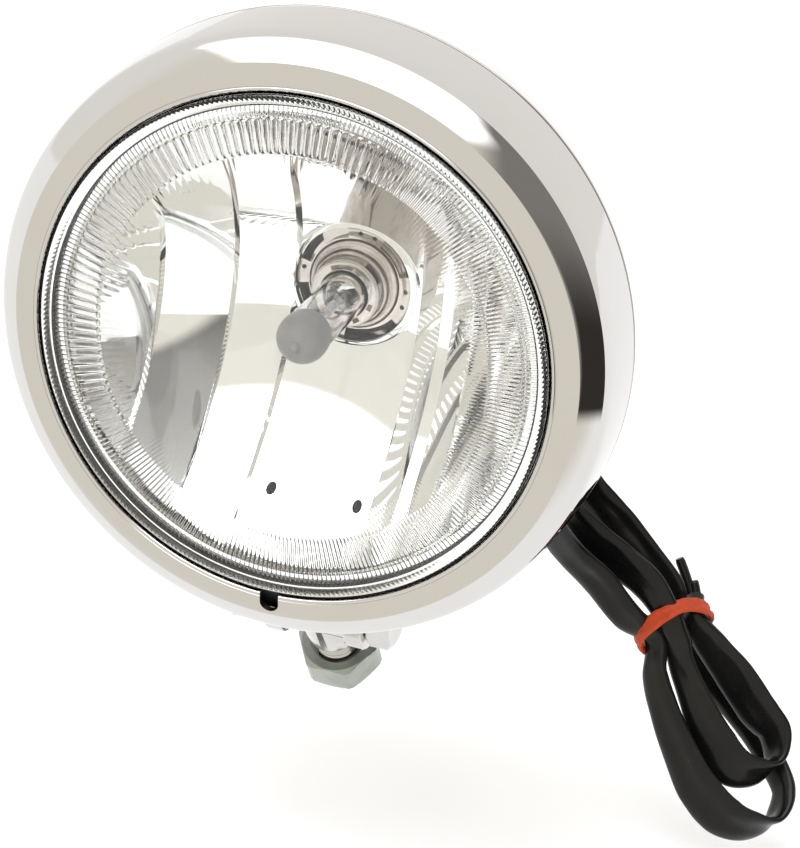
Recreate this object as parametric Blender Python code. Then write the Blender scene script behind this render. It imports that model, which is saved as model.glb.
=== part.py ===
"""Round chrome fog lamp on a swivel stud, built as separate pieces.

Blender 4.5: blender --background --python part.py
The lamp's optical axis runs along Y and its lens faces -Y. +X is to the right as seen from in front
of the lens looking along +Y, and +Z is up. Numbers below are millimetres; MM turns them into metres.
Pieces are laid out from the point on the optical axis where the trim ring meets the shell, with
depths measured back from the trim ring's front lip. set_origin() then moves everything together, so
that the origin is the centre of the mounting stud's end face.
"""

import math

import bmesh
import bpy
from mathutils import Matrix, Vector

MM = 0.001
GAP = 0.3

# Housing
SEAM_DEPTH = 23.5
OUTER_R = 65.0
LIP_R = 54.8
FACE_R = 60.4
SHEET = 1.2
SHELL_DEPTH = 88.0
FLANGE_R = 63.2

# Optics
LENS_R = 53.1
LENS_WALL = 3.2
FLANGE_OUT_R = 58.5
PARABOLA = 68.7
VERTEX_DEPTH = 42.24
NECK_R = 12.5
NECK_WALL = 2.5

# Bulb
GLASS_R = 5.3
BASE_R = 9.5
BULB_FLANGE_R = 12.1
BODY_R = 10.0

# Swivel mount
PIVOT = Vector((0.0, 16.0, -73.2))
STUD_DROP = 50.0
EAR_R = 8.5
EAR_IN = 6.9
EAR_OUT = 11.0
EYE_HALF = 6.5
PIVOT_BOLT_R = 3.9
STEM_R = 4.0
SHANK_R = 6.2
THREAD_R = 5.0
SHOULDER = 13.0
STUD_END = 34.0
NUT_AT = 23.1
NUT_AF = 16.0
NUT_HEIGHT = 8.4

# Cable
CABLE_R = 2.7
WIRE_R = 1.1
HOLE_SIDE = Vector((0.692, 0.0, -0.722))
HOLE_DEPTH = 45.5
BAND_CENTRE = Vector((69.8, 45.0, -75.8))
BAND_ALONG = Vector((0.498, 0.136, -0.856)).normalized()
BAND_ACROSS = Vector((0.762, 0.401, 0.507)).normalized()

ROUND = 48
SMALL_ROUND = 24


# ---------------------------------------------------------------- helpers

def clear_scene():
    for obj in list(bpy.data.objects):
        bpy.data.objects.remove(obj, do_unlink=True)


def material(name, colour, roughness, metallic, alpha=1.0):
    mat = bpy.data.materials.new(name)
    mat.use_nodes = True
    shader = mat.node_tree.nodes["Principled BSDF"]
    shader.inputs["Base Color"].default_value = (*colour, 1.0)
    shader.inputs["Roughness"].default_value = roughness
    shader.inputs["Metallic"].default_value = metallic
    shader.inputs["Alpha"].default_value = alpha
    return mat


def back(depth):
    """Y of a depth behind the trim ring's lip, in millimetres."""
    return depth - SEAM_DEPTH


def add_object(name, bm, mat, smooth=True, crease=35.0):
    bmesh.ops.recalc_face_normals(bm, faces=bm.faces)
    mesh = bpy.data.meshes.new(name)
    bm.to_mesh(mesh)
    bm.free()
    if smooth:
        mesh.shade_smooth()
        mesh.set_sharp_from_angle(angle=math.radians(crease))
    mesh.materials.append(mat)
    obj = bpy.data.objects.new(name, mesh)
    bpy.context.scene.collection.objects.link(obj)
    return obj


def place(obj, location, axis=Vector((0, 0, 1))):
    """Puts the object's origin at location (mm) and its local +Z along axis."""
    obj.rotation_mode = "QUATERNION"
    obj.rotation_quaternion = Vector((0, 0, 1)).rotation_difference(Vector(axis))
    obj.location = Vector(location) * MM
    return obj


def hexagon(across_flats, at_most=1e9):
    """Radius of a hexagon at an angle, cut off at a chamfer radius."""
    def radius(angle):
        from_flat = (angle + math.pi / 6) % (math.pi / 3) - math.pi / 6
        return min(across_flats / 2 / math.cos(from_flat), at_most)
    return radius


def turned(profile, steps=ROUND):
    """Mesh of a profile of (radius, height) turned about Z; it closes on itself unless both ends are on the axis."""
    bm = bmesh.new()
    rings = []
    for radius, height in profile:
        if radius == 0:
            rings.append([bm.verts.new((0, 0, height * MM))])
            continue
        ring = []
        for i in range(steps):
            angle = 2 * math.pi * i / steps
            r = (radius(angle) if callable(radius) else radius) * MM
            ring.append(bm.verts.new((r * math.cos(angle), r * math.sin(angle), height * MM)))
        rings.append(ring)
    pairs = list(zip(rings, rings[1:]))
    if profile[0][0] != 0:
        pairs.append((rings[-1], rings[0]))
    for first, second in pairs:
        for i in range(steps):
            j = (i + 1) % steps
            corners = [first[i % len(first)], first[j % len(first)],
                       second[j % len(second)], second[i % len(second)]]
            unique = list(dict.fromkeys(corners))
            if len(unique) > 2:
                bm.faces.new(unique)
    return bm


def lamp_turned(name, profile, mat, steps=ROUND):
    """A piece turned about the optical axis, from a profile of (radius, depth)."""
    heights = [(radius, back(depth)) for radius, depth in profile]
    return place(add_object(name, turned(heights, steps), mat), (0, 0, 0), (0, 1, 0))


def smooth_path(points, steps):
    """Points on a Catmull-Rom curve through the given points."""
    ends = [2 * points[0] - points[1]] + list(points) + [2 * points[-1] - points[-2]]
    path = []
    for a, b, c, d in zip(ends, ends[1:], ends[2:], ends[3:]):
        for i in range(steps):
            t = i / steps
            path.append(0.5 * (2 * b + (c - a) * t + (2 * a - 5 * b + 4 * c - d) * t * t
                               + (3 * b - a - 3 * c + d) * t ** 3))
    path.append(Vector(points[-1]))
    return path


def swept(path, radius, sides=8, looped=False):
    """Mesh of a round section carried along a path of millimetre points; radius is a number or a list."""
    bm = bmesh.new()
    count = len(path)
    rings = []
    normal = None
    for i, point in enumerate(path):
        before = path[(i - 1) % count] if looped or i else path[0]
        after = path[(i + 1) % count] if looped or i < count - 1 else path[-1]
        tangent = (after - before).normalized()
        if normal is None:
            normal = tangent.orthogonal().normalized()
        normal = (normal - tangent * normal.dot(tangent)).normalized()
        side = tangent.cross(normal)
        r = radius[i] if isinstance(radius, list) else radius
        ring = []
        for k in range(sides):
            angle = 2 * math.pi * k / sides
            offset = (normal * math.cos(angle) + side * math.sin(angle)) * r
            ring.append(bm.verts.new((point + offset) * MM))
        rings.append(ring)
    if looped:
        rings.append(rings[0])
    for first, second in zip(rings, rings[1:]):
        for k in range(sides):
            m = (k + 1) % sides
            bm.faces.new((first[k], first[m], second[m], second[k]))
    if not looped:
        bm.faces.new(rings[0])
        bm.faces.new(rings[-1])
    return bm


def block(low, high):
    """Mesh of a box between two corners, in millimetres."""
    bm = bmesh.new()
    centre = (Vector(low) + Vector(high)) / 2 * MM
    size = (Vector(high) - Vector(low)) * MM
    bmesh.ops.create_cube(bm, size=1, matrix=Matrix.Translation(centre) @ Matrix.Diagonal((*size, 1)))
    return bm


def cutter(obj):
    obj.hide_render = True
    obj.display_type = "WIRE"
    return obj


def boolean(obj, other, operation="DIFFERENCE"):
    modifier = obj.modifiers.new(operation.title(), "BOOLEAN")
    modifier.operation = operation
    modifier.solver = "EXACT"
    modifier.object = cutter(other)


# ---------------------------------------------------------------- materials

def make_materials():
    return {
        "chrome": material("chrome_plate", (0.86, 0.85, 0.83), 0.06, 1.0),
        "zinc": material("zinc_plate", (0.42, 0.44, 0.42), 0.42, 1.0),
        "steel": material("bright_steel", (0.62, 0.62, 0.61), 0.3, 1.0),
        "glass": material("clear_glass", (0.95, 0.97, 0.97), 0.03, 0.0, 0.25),
        "mirror": material("vapour_mirror", (0.92, 0.92, 0.91), 0.08, 1.0),
        "rubber": material("black_rubber", (0.02, 0.02, 0.022), 0.55, 0.0),
        "sleeve": material("black_vinyl", (0.025, 0.025, 0.025), 0.35, 0.0),
        "plastic": material("black_plastic", (0.03, 0.03, 0.03), 0.45, 0.0),
        "tip": material("grey_tip_paint", (0.32, 0.32, 0.33), 0.5, 0.0),
        "filament": material("tungsten", (0.35, 0.34, 0.33), 0.4, 1.0),
        "red_wire": material("red_wire", (0.6, 0.05, 0.03), 0.4, 0.0),
        "band": material("orange_red_rubber", (0.72, 0.12, 0.04), 0.6, 0.0),
    }


# ---------------------------------------------------------------- housing

def bezier(a, b, c, d, steps):
    points = []
    for i in range(steps + 1):
        t = i / steps
        u = 1 - t
        points.append(tuple(u ** 3 * a[k] + 3 * u * u * t * b[k] + 3 * u * t * t * c[k] + t ** 3 * d[k]
                            for k in range(2)))
    return points


def bowl(inset, steps=12):
    """Profile of the shell's outside moved in by inset, from the seam to the pole."""
    front = SEAM_DEPTH + 0.15
    curve = bezier((OUTER_R - inset, front), (54.5 - inset, 56.0 - 0.3 * inset),
                   (38.0 - inset, SHELL_DEPTH - inset), (0.0, SHELL_DEPTH - inset), steps)
    return curve[:-1] + [(0, SHELL_DEPTH - inset)]


def shell_radius(depth):
    """Outside radius of the shell at a depth."""
    curve = bowl(0.0, 48)
    for (r0, d0), (r1, d1) in zip(curve, curve[1:]):
        if d0 <= depth <= d1:
            return r0 + (r1 - r0) * (depth - d0) / (d1 - d0)
    return 0.0


def filled_bowl(name, inset, mat):
    """Solid with the shell's shape moved in by inset, for cutting pieces that lie against the shell."""
    profile = bowl(inset)
    front = profile[0][1] - 12.0
    return lamp_turned(name, [(0, front), (profile[0][0], front)] + profile, mat)


def hole_frame():
    """Centre on the shell's outside and outward direction of the cable hole."""
    radius = shell_radius(HOLE_DEPTH)
    slope = (shell_radius(HOLE_DEPTH + 1) - shell_radius(HOLE_DEPTH - 1)) / 2
    centre = HOLE_SIDE.normalized() * radius + Vector((0, back(HOLE_DEPTH), 0))
    outward = (HOLE_SIDE.normalized() + Vector((0, -slope, 0))).normalized()
    return centre, outward


def shell(mats):
    inside = bowl(SHEET)
    flange_in = FLANGE_R - SHEET
    profile = [(0, SHELL_DEPTH)] + bowl(0.0)[::-1][1:]
    profile += [(FLANGE_R, SEAM_DEPTH + 0.15), (FLANGE_R, 17.0), (flange_in, 17.0), (flange_in, 24.8)]
    profile += inside[1:]
    piece = lamp_turned("shell", profile, mats["chrome"])
    stem_hole = place(add_object("shell_stem_hole", turned([(0, -8), (4.7, -8), (4.7, 8), (0, 8)], 24),
                                 mats["chrome"]), (PIVOT.x, PIVOT.y, -shell_radius(PIVOT.y + SEAM_DEPTH)))
    boolean(piece, stem_hole)
    centre, outward = hole_frame()
    cable_hole = place(add_object("shell_cable_hole", turned([(0, -8), (6.3, -8), (6.3, 8), (0, 8)], 24),
                                  mats["chrome"]), centre, outward)
    boolean(piece, cable_hole)
    screw_hole = place(add_object("shell_screw_hole", turned([(0, -4), (2.4, -4), (2.4, 4), (0, 4)], 16),
                                  mats["chrome"]), (0, back(19.8), -FLANGE_R + 0.6))
    boolean(piece, screw_hole)
    return piece


def trim_ring(mats):
    """Front bezel: rolled lip, sloping flat face, and a broad rounded shoulder back to the shell."""
    outside = [(54.3, 1.2), (LIP_R, 0.1), (LIP_R + 0.8, 0.1), (FACE_R - 0.6, 1.55), (61.1, 2.6),
               (62.3, 3.65), (63.4, 4.65), (64.15, 5.7), (64.5, 6.6), (64.8, 8.8), (OUTER_R, 13.0),
               (OUTER_R, SEAM_DEPTH - 0.15)]
    inside = [(63.9, SEAM_DEPTH - 0.15), (63.8, 11.0), (63.2, 7.6), (61.8, 5.6), (60.3, 4.2),
              (58.9, 3.1), (56.0, 2.1), (54.9, 1.9)]
    piece = lamp_turned("trim_ring", outside + inside, mats["chrome"])
    notch = block((-2.0, back(-2.0), -58.2 + 1.6), (2.0, back(4.0), -52.0))
    round_end = place(add_object("trim_notch_round", turned([(0, -2), (2.0, -2), (2.0, 4), (0, 4)], 20),
                                 mats["chrome"]), (0, back(0), -56.6), (0, 1, 0))
    boolean(piece, add_object("trim_notch", notch, mats["chrome"]))
    boolean(piece, round_end)
    screw_hole = place(add_object("trim_screw_hole", turned([(0, -4), (2.4, -4), (2.4, 4), (0, 4)], 16),
                                  mats["chrome"]), (0, back(19.8), -OUTER_R + 0.6))
    boolean(piece, screw_hole)
    return piece


def ring_fixings(mats):
    """What holds the trim ring on the shell: a hook at the top, a screw with its nut plate at the bottom."""
    hook_half = 5.0
    hook = bmesh.new()
    outline = [(60.0, 11.6), (63.1, 11.6), (63.1, 12.9), (61.2, 12.9), (61.2, 24.4), (60.0, 24.4)]
    loops = [[hook.verts.new((x * MM, back(d) * MM, r * MM)) for r, d in outline]
             for x in (-hook_half, hook_half)]
    count = len(outline)
    for i in range(count):
        j = (i + 1) % count
        hook.faces.new((loops[0][i], loops[0][j], loops[1][j], loops[1][i]))
    hook.faces.new(loops[0])
    hook.faces.new(loops[1])
    add_object("trim_ring_hook", hook, mats["steel"], smooth=False)

    plate = block((-5.5, back(16.6), -61.2), (5.5, back(23.0), -58.6))
    nut_plate = add_object("trim_screw_plate", plate, mats["steel"], smooth=False)
    thread = place(add_object("trim_plate_hole", turned([(0, -4), (2.2, -4), (2.2, 4), (0, 4)], 16),
                              mats["steel"]), (0, back(19.8), -60.3))
    boolean(nut_plate, thread)

    head_and_shank = [(0, 2.1), (2.2, 2.1), (3.3, 1.5), (3.6, 0.4), (3.6, 0.0), (1.9, 0.0), (1.9, -8.2), (0, -8.2)]
    screw = add_object("trim_ring_screw", turned(head_and_shank, SMALL_ROUND), mats["chrome"])
    place(screw, (0, back(19.8), -OUTER_R - GAP), (0, 0, -1))


# ---------------------------------------------------------------- lens and reflector

def lens(mats):
    """Shallow domed glass with a raised rim and a skirt."""
    crown = -1.6
    profile = [(0, crown), (18, -1.3), (34, -0.4), (50.4, 1.1), (51.4, 0.75), (52.6, 0.9), (LENS_R, 1.6),
               (LENS_R, 6.0), (50.9, 6.0), (50.4, 4.4), (26, 2.3), (0, crown + LENS_WALL)]
    lamp_turned("lens", profile, mats["glass"])


def lens_seals(mats):
    gasket = [(53.4, 2.7), (55.6, 2.7), (58.7, 4.3), (58.7, 8.3), (53.4, 8.3)]
    lamp_turned("lens_gasket", gasket, mats["rubber"])
    sealant = [(51.0, 6.3), (53.0, 6.3), (53.0, 7.6), (51.0, 7.6)]
    lamp_turned("lens_sealant", sealant, mats["rubber"])


def parabola_radius(depth):
    return math.sqrt(PARABOLA * (VERTEX_DEPTH - depth))


def reflector(mats):
    """Parabolic bowl with a flange at its mouth and a neck for the bulb."""
    wall = 2.2
    depths = [8.6, 14.0, 20.0, 27.0, 33.0, 37.5]
    inside = [(parabola_radius(d), d) for d in depths] + [(NECK_R, 40.0), (NECK_R, 47.0)]
    outside = [(NECK_R + NECK_WALL, 47.0), (NECK_R + NECK_WALL, 42.0)]
    outside += [(parabola_radius(d) + wall, d + 1.0) for d in depths[::-1]]
    flange = [(FLANGE_OUT_R, 10.1), (FLANGE_OUT_R, 8.6), (53.3, 8.6), (53.0, 7.9), (49.5, 7.9)]
    lamp_turned("reflector", inside + outside + flange, mats["mirror"])


def retaining_clips(mats):
    """Four spring clips that press the reflector's flange towards the trim ring."""
    outline = [(57.2, 10.5), (63.2, 10.5), (63.2, 15.8), (62.3, 15.8), (62.3, 11.4), (57.2, 11.4)]
    half = 4.0
    for number in range(4):
        angle = math.radians(45 + 90 * number)
        radial = Vector((math.cos(angle), 0, math.sin(angle)))
        across = Vector((-math.sin(angle), 0, math.cos(angle)))
        bm = bmesh.new()
        loops = []
        for side in (-half, half):
            loops.append([bm.verts.new((radial * r + across * side + Vector((0, back(d), 0))) * MM)
                          for r, d in outline])
        for i in range(len(outline)):
            j = (i + 1) % len(outline)
            bm.faces.new((loops[0][i], loops[0][j], loops[1][j], loops[1][i]))
        bm.faces.new(loops[0])
        bm.faces.new(loops[1])
        add_object(f"retaining_clip_{number + 1}", bm, mats["steel"], smooth=False)


# ---------------------------------------------------------------- bulb

def bulb_flange_radius(angle):
    """Flange edge with three bayonet lugs."""
    turn = (angle + math.pi / 3) % (2 * math.pi / 3) - math.pi / 3
    return BULB_FLANGE_R if abs(turn) < math.radians(16) else BULB_FLANGE_R - 1.4


def bulb(mats):
    collar = [(9.9, 40.6), (NECK_R - GAP, 40.6), (NECK_R - GAP, 42.2), (9.9, 42.2)]
    lamp_turned("bulb_collar", collar, mats["steel"], 32)

    bore = GLASS_R + 0.4
    flange = [(bore, 34.0), (7.4, 34.0), (7.4, 39.8), (BASE_R, 40.2), (BASE_R, 42.6),
              (bulb_flange_radius, 42.6), (bulb_flange_radius, 43.8), (bore, 43.8)]
    lamp_turned("bulb_flange", flange, mats["steel"], 36)

    outside = [(GLASS_R, 43.5), (GLASS_R, 12.0), (4.9, 10.3), (3.6, 8.9), (1.8, 8.3), (0, 8.2)]
    envelope = lamp_turned("bulb_glass", [(0, 43.5)] + outside, mats["glass"], 16)
    hollow = [(0, 9.3), (2.8, 9.9), (4.3, 12.0), (4.3, 46.0), (0, 46.0)]
    boolean(envelope, lamp_turned("bulb_hollow", hollow, mats["glass"], 16))

    coat = [(0, 7.5), (2.2, 7.7), (4.2, 8.6), (5.5, 10.2), (5.9, 12.2), (5.9, 14.2), (5.6, 14.2),
            (5.6, 12.0), (5.2, 10.2), (3.8, 8.6), (1.9, 8.0), (0, 7.9)]
    lamp_turned("bulb_tip_coat", coat, mats["tip"], 16)

    path = [Vector((-1.8, back(42.5), 0)), Vector((-1.8, back(28.5), 0)), Vector((-1.2, back(27.6), 0))]
    turns = 6
    for i in range(turns * 8 + 1):
        angle = math.pi + 2 * math.pi * i / 8
        path.append(Vector((1.0 * math.cos(angle), back(27.2 - 5.6 * i / (turns * 8)), 1.0 * math.sin(angle))))
    path += [Vector((0.4, back(20.6), 0)), Vector((2.2, back(20.6), 0)), Vector((2.6, back(22.0), 0)),
             Vector((2.6, back(42.5), 0))]
    add_object("bulb_filament", swept(path, 0.22, 4), mats["filament"])

    body = [(0, 44.1), (BODY_R, 44.1), (BODY_R, 46.8), (8.8, 47.3), (8.8, 52.0), (0, 52.0)]
    lamp_turned("bulb_body", body, mats["plastic"], 24)
    seal = [(10.3, 44.3), (12.1, 44.3), (12.1, 46.3), (10.3, 46.3)]
    lamp_turned("bulb_seal", seal, mats["rubber"], 32)
    for side, name in ((-1, "bulb_terminal_left"), (1, "bulb_terminal_right")):
        x = side * 2.6
        blade = block((x - 0.4, back(52.3), -2.6), (x + 0.4, back(58.5), 2.6))
        add_object(name, blade, mats["steel"], smooth=False)


def plug(mats):
    profile = [(6.2, 52.4), (9.4, 52.4), (9.4, 62.0), (6.6, 67.0), (3.3, 67.0), (3.3, 60.0), (6.2, 60.0)]
    lamp_turned("bulb_plug", profile, mats["plastic"], 24)


# ---------------------------------------------------------------- cable

def band_point(across, towards):
    """Point in the rubber band's plane: across the bundle, and towards the front of the lamp."""
    front = BAND_ALONG.cross(BAND_ACROSS).normalized()
    return BAND_CENTRE + BAND_ACROSS * across + front * towards


def cable_points():
    """Centreline of the sleeve: out of the shell, two folded loops and back to the band."""
    centre, outward = hole_frame()
    points = [centre + outward * step for step in (-6.0, 0.0, 6.0)]
    points += [Vector(p) for p in ((45, 29, -55), (50, 35, -64), (57, 39, -71))]
    points += [band_point(-4.7, 0.3)]
    points += [Vector(p) for p in ((66, 40, -90), (69, 40, -100), (73, 41, -108), (79, 42, -115),
                                   (85, 44, -119), (91, 46, -120), (96, 47, -117), (98, 49, -111))]
    points += [Vector(p) for p in ((94, 55, -104), (88, 56, -97), (80, 53, -88))]
    points += [band_point(0.8, -3.6)]
    points += [Vector(p) for p in ((66, 51, -70), (60, 51, -63), (52, 49, -55), (47, 46, -47),
                                   (44, 41, -43), (45, 36, -46))]
    points += [Vector(p) for p in ((51, 36, -53), (59, 38, -60), (64, 40, -67))]
    points += [band_point(0.0, 2.7)]
    points += [Vector(p) for p in ((73, 41, -84), (76, 41, -91), (81, 42, -98), (87, 43, -102),
                                   (92, 45, -103), (94, 47, -99), (92, 48, -93), (87, 48, -86),
                                   (81, 48, -80))]
    points += [band_point(4.7, 0.2), Vector((72, 47, -67.5))]
    return points


def cable(mats):
    path = smooth_path(cable_points(), 2)
    radii = []
    for point in path:
        nearness = max(0.0, 1.0 - abs((point - BAND_CENTRE).dot(BAND_ALONG)) / 9.0)
        radii.append(CABLE_R - 0.45 * nearness)
    add_object("cable_sleeve", swept(path, radii, 7), mats["sleeve"])

    front = BAND_ALONG.cross(BAND_ACROSS).normalized()
    loop = []
    for i in range(24):
        angle = 2 * math.pi * i / 24
        loop.append(BAND_CENTRE + BAND_ACROSS * 8.6 * math.cos(angle) + front * 7.2 * math.sin(angle))
    add_object("rubber_band", swept(loop, 0.95, 6, looped=True), mats["band"])

    for name, mat, start, end in (
            ("lead_end_red", "red_wire", (73.2, 48.6, -64.6), (69.2, 50.6, -59.4)),
            ("lead_end_black", "sleeve", (70.2, 49.8, -65.6), (65.0, 51.6, -59.0))):
        add_object(name, swept([Vector(start), Vector(end)], 1.3, 10), mats[mat])


def grommet(mats):
    centre, outward = hole_frame()
    section = [(3.2, -3.8), (7.6, -3.8), (8.0, -3.2), (8.0, -2.6), (5.9, -2.3), (5.9, 0.5), (8.0, 0.7),
               (7.7, 2.2), (5.2, 3.6), (3.2, 3.6)]
    place(add_object("cable_grommet", turned(section, SMALL_ROUND), mats["rubber"]), centre, outward)


def inner_wires(mats):
    """The two wires from the bulb's plug to the sleeve inside the shell."""
    centre, outward = hole_frame()
    entry = centre - outward * 7.6
    for name, mat, side in (("wire_red", "red_wire", -1), ("wire_black", "sleeve", 1)):
        x = 1.7 * side
        drop = Vector((0.8 * side, 0, 0.9 * side))
        points = [Vector((x, back(62.0), 0)), Vector((x, back(70.0), 0)),
                  Vector((4 + x, back(75.0), -7)), Vector((16, back(69.0), -20)) + 1.5 * drop,
                  Vector((27, back(56.0), -30)) + 1.5 * drop, entry + drop * 1.2]
        add_object(name, swept(smooth_path(points, 4), WIRE_R, 6), mats[mat])


# ---------------------------------------------------------------- swivel mount

def saddles(mats):
    """Shaped seats on both sides of the shell, so that the swivel clamps on flat faces."""
    steep = -shell_radius(PIVOT.y + SEAM_DEPTH)
    outer = turned([(4.4, steep + 8), (9.5, steep + 8), (9.5, -63.3), (4.4, -63.3)], 32)
    outer_saddle = place(add_object("outer_saddle", outer, mats["chrome"]), (0, PIVOT.y, 0))
    boolean(outer_saddle, filled_bowl("shell_outside_cutter", -1.5 * GAP, mats["chrome"]))

    inner = turned([(4.4, -64.0), (8.6, -64.0), (8.6, -53.6), (4.4, -53.6)], 32)
    inner_saddle = place(add_object("inner_saddle", inner, mats["steel"]), (0, PIVOT.y, 0))
    boolean(inner_saddle, filled_bowl("shell_inside_cutter", SHEET + 1.5 * GAP, mats["steel"]), "INTERSECT")


def clevis(mats):
    """Fork under the lamp: a round base with a threaded stem and two rounded ears."""
    base = turned([(0, -63.6), (9.6, -63.6), (9.6, -65.9), (0, -65.9)][::-1], 32)
    fork = place(add_object("swivel_clevis", base, mats["chrome"]), (0, PIVOT.y, 0))
    stem = turned([(0, -42.5), (STEM_R - 0.4, -42.5), (STEM_R, -43.2), (STEM_R, -64.5), (0, -64.5)], 24)
    boolean(fork, place(add_object("clevis_stem", stem, mats["chrome"]), (0, PIVOT.y, 0)), "UNION")
    for side, name in ((-1, "clevis_ear_left"), (1, "clevis_ear_right")):
        ear = bmesh.new()
        outline = [(-EAR_R, -64.8 - PIVOT.z)]
        for i in range(13):
            angle = math.pi + math.pi * i / 12
            outline.append((EAR_R * math.cos(angle), EAR_R * math.sin(angle)))
        outline.append((EAR_R, -64.8 - PIVOT.z))
        near, far = sorted((side * EAR_IN, side * EAR_OUT))
        loops = [[ear.verts.new((x * MM, (PIVOT.y + y) * MM, (PIVOT.z + z) * MM)) for y, z in outline]
                 for x in (near, far)]
        for i in range(len(outline)):
            j = (i + 1) % len(outline)
            ear.faces.new((loops[0][i], loops[0][j], loops[1][j], loops[1][i]))
        ear.faces.new(loops[0])
        ear.faces.new(loops[1])
        boolean(fork, add_object(name, ear, mats["chrome"]), "UNION")
    bore = turned([(0, -14), (PIVOT_BOLT_R + GAP, -14), (PIVOT_BOLT_R + GAP, 14), (0, 14)], 24)
    boolean(fork, place(add_object("clevis_bore", bore, mats["chrome"]), PIVOT, (1, 0, 0)))


def clevis_fasteners(mats):
    washer = turned([(4.3, -53.3), (7.2, -53.3), (7.2, -51.6), (4.3, -51.6)], SMALL_ROUND)
    place(add_object("clevis_lock_washer", washer, mats["zinc"]), (0, PIVOT.y, 0))
    nut = turned([(4.3, -51.3), (hexagon(13, 7.0), -51.3), (hexagon(13), -50.6), (hexagon(13), -45.4),
                  (hexagon(13, 7.0), -44.7), (4.3, -44.7)], SMALL_ROUND)
    place(add_object("clevis_nut", nut, mats["zinc"]), (0, PIVOT.y, 0))


def pivot_fasteners(mats):
    head_from = EAR_OUT + GAP
    head_to = head_from + 5.3
    bolt = turned([(0, head_to), (hexagon(13, 6.3), head_to), (hexagon(13), head_to - 0.7),
                   (hexagon(13), head_from), (PIVOT_BOLT_R, head_from), (PIVOT_BOLT_R, -21.5), (0, -21.5)],
                  SMALL_ROUND)
    place(add_object("pivot_bolt", bolt, mats["chrome"]), PIVOT, (1, 0, 0))
    washer = turned([(4.2, -11.3), (7.4, -11.3), (7.4, -12.9), (4.2, -12.9)], SMALL_ROUND)
    place(add_object("pivot_lock_washer", washer, mats["zinc"]), PIVOT, (1, 0, 0))
    nut = turned([(4.2, -13.2), (hexagon(13, 7.0), -13.2), (hexagon(13), -13.9), (hexagon(13), -19.0),
                  (hexagon(13, 7.0), -19.7), (4.2, -19.7)], SMALL_ROUND)
    place(add_object("pivot_nut", nut, mats["chrome"]), PIVOT, (1, 0, 0))


def stud_direction():
    drop = math.radians(STUD_DROP)
    return Vector((0, math.cos(drop), -math.sin(drop)))


def swivel_stud(mats):
    """Eye between the clevis ears, with the mounting stud standing out of it."""
    eye_r = 7.0
    eye = turned([(0, -EYE_HALF), (eye_r, -EYE_HALF), (eye_r, EYE_HALF), (0, EYE_HALF)][::-1], 32)
    stud = place(add_object("mounting_stud", eye, mats["chrome"]), PIVOT, (1, 0, 0))
    rod = turned([(0, STUD_END), (THREAD_R - 0.8, STUD_END), (THREAD_R, STUD_END - 0.9),
                  (THREAD_R, SHOULDER), (SHANK_R, SHOULDER), (SHANK_R, 1.5), (0, 1.5)], SMALL_ROUND)
    boolean(stud, place(add_object("stud_rod", rod, mats["chrome"]), PIVOT, stud_direction()), "UNION")
    bore_r = PIVOT_BOLT_R + GAP
    bore = turned([(0, -9), (bore_r, -9), (bore_r, 9), (0, 9)], 24)
    boolean(stud, place(add_object("stud_bore", bore, mats["chrome"]), PIVOT, (1, 0, 0)))


def mount_nut(mats):
    low = NUT_AT - NUT_HEIGHT / 2
    high = NUT_AT + NUT_HEIGHT / 2
    hole = THREAD_R + GAP
    profile = [(hole, low + 0.5), (hole + 0.6, low), (hexagon(NUT_AF, 7.9), low), (hexagon(NUT_AF), low + 0.7),
               (hexagon(NUT_AF), high - 0.7), (hexagon(NUT_AF, 7.9), high), (hole + 0.6, high), (hole, high - 0.5)]
    place(add_object("mount_nut", turned(profile, SMALL_ROUND), mats["zinc"]), PIVOT, stud_direction())


def set_origin():
    """Moves everything so that the origin is the centre of the stud's end face."""
    stud_end = PIVOT + stud_direction() * STUD_END
    for obj in bpy.data.objects:
        obj.location -= stud_end * MM


def main():
    clear_scene()
    mats = make_materials()
    shell(mats)
    trim_ring(mats)
    ring_fixings(mats)
    lens(mats)
    lens_seals(mats)
    reflector(mats)
    retaining_clips(mats)
    bulb(mats)
    plug(mats)
    inner_wires(mats)
    cable(mats)
    grommet(mats)
    saddles(mats)
    clevis(mats)
    clevis_fasteners(mats)
    pivot_fasteners(mats)
    swivel_stud(mats)
    mount_nut(mats)
    set_origin()


main()
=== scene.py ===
"""Looks of the chrome fog lamp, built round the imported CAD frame.

Points and sizes are in millimetres in the lamp's own frame: X right, Y back along the optical axis,
Z up, zero where the axis meets the seam of trim ring and shell. ORIGIN, read from the frame, turns
them into the row frame in metres. "depth" is measured back from the trim ring's lip. A profile is a
list of (radius, depth) or (radius, height) points, and a third number rounds that corner.
"""

import math

import bmesh
import bpy
import numpy as np
from mathutils import Matrix, Vector, noise


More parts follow.
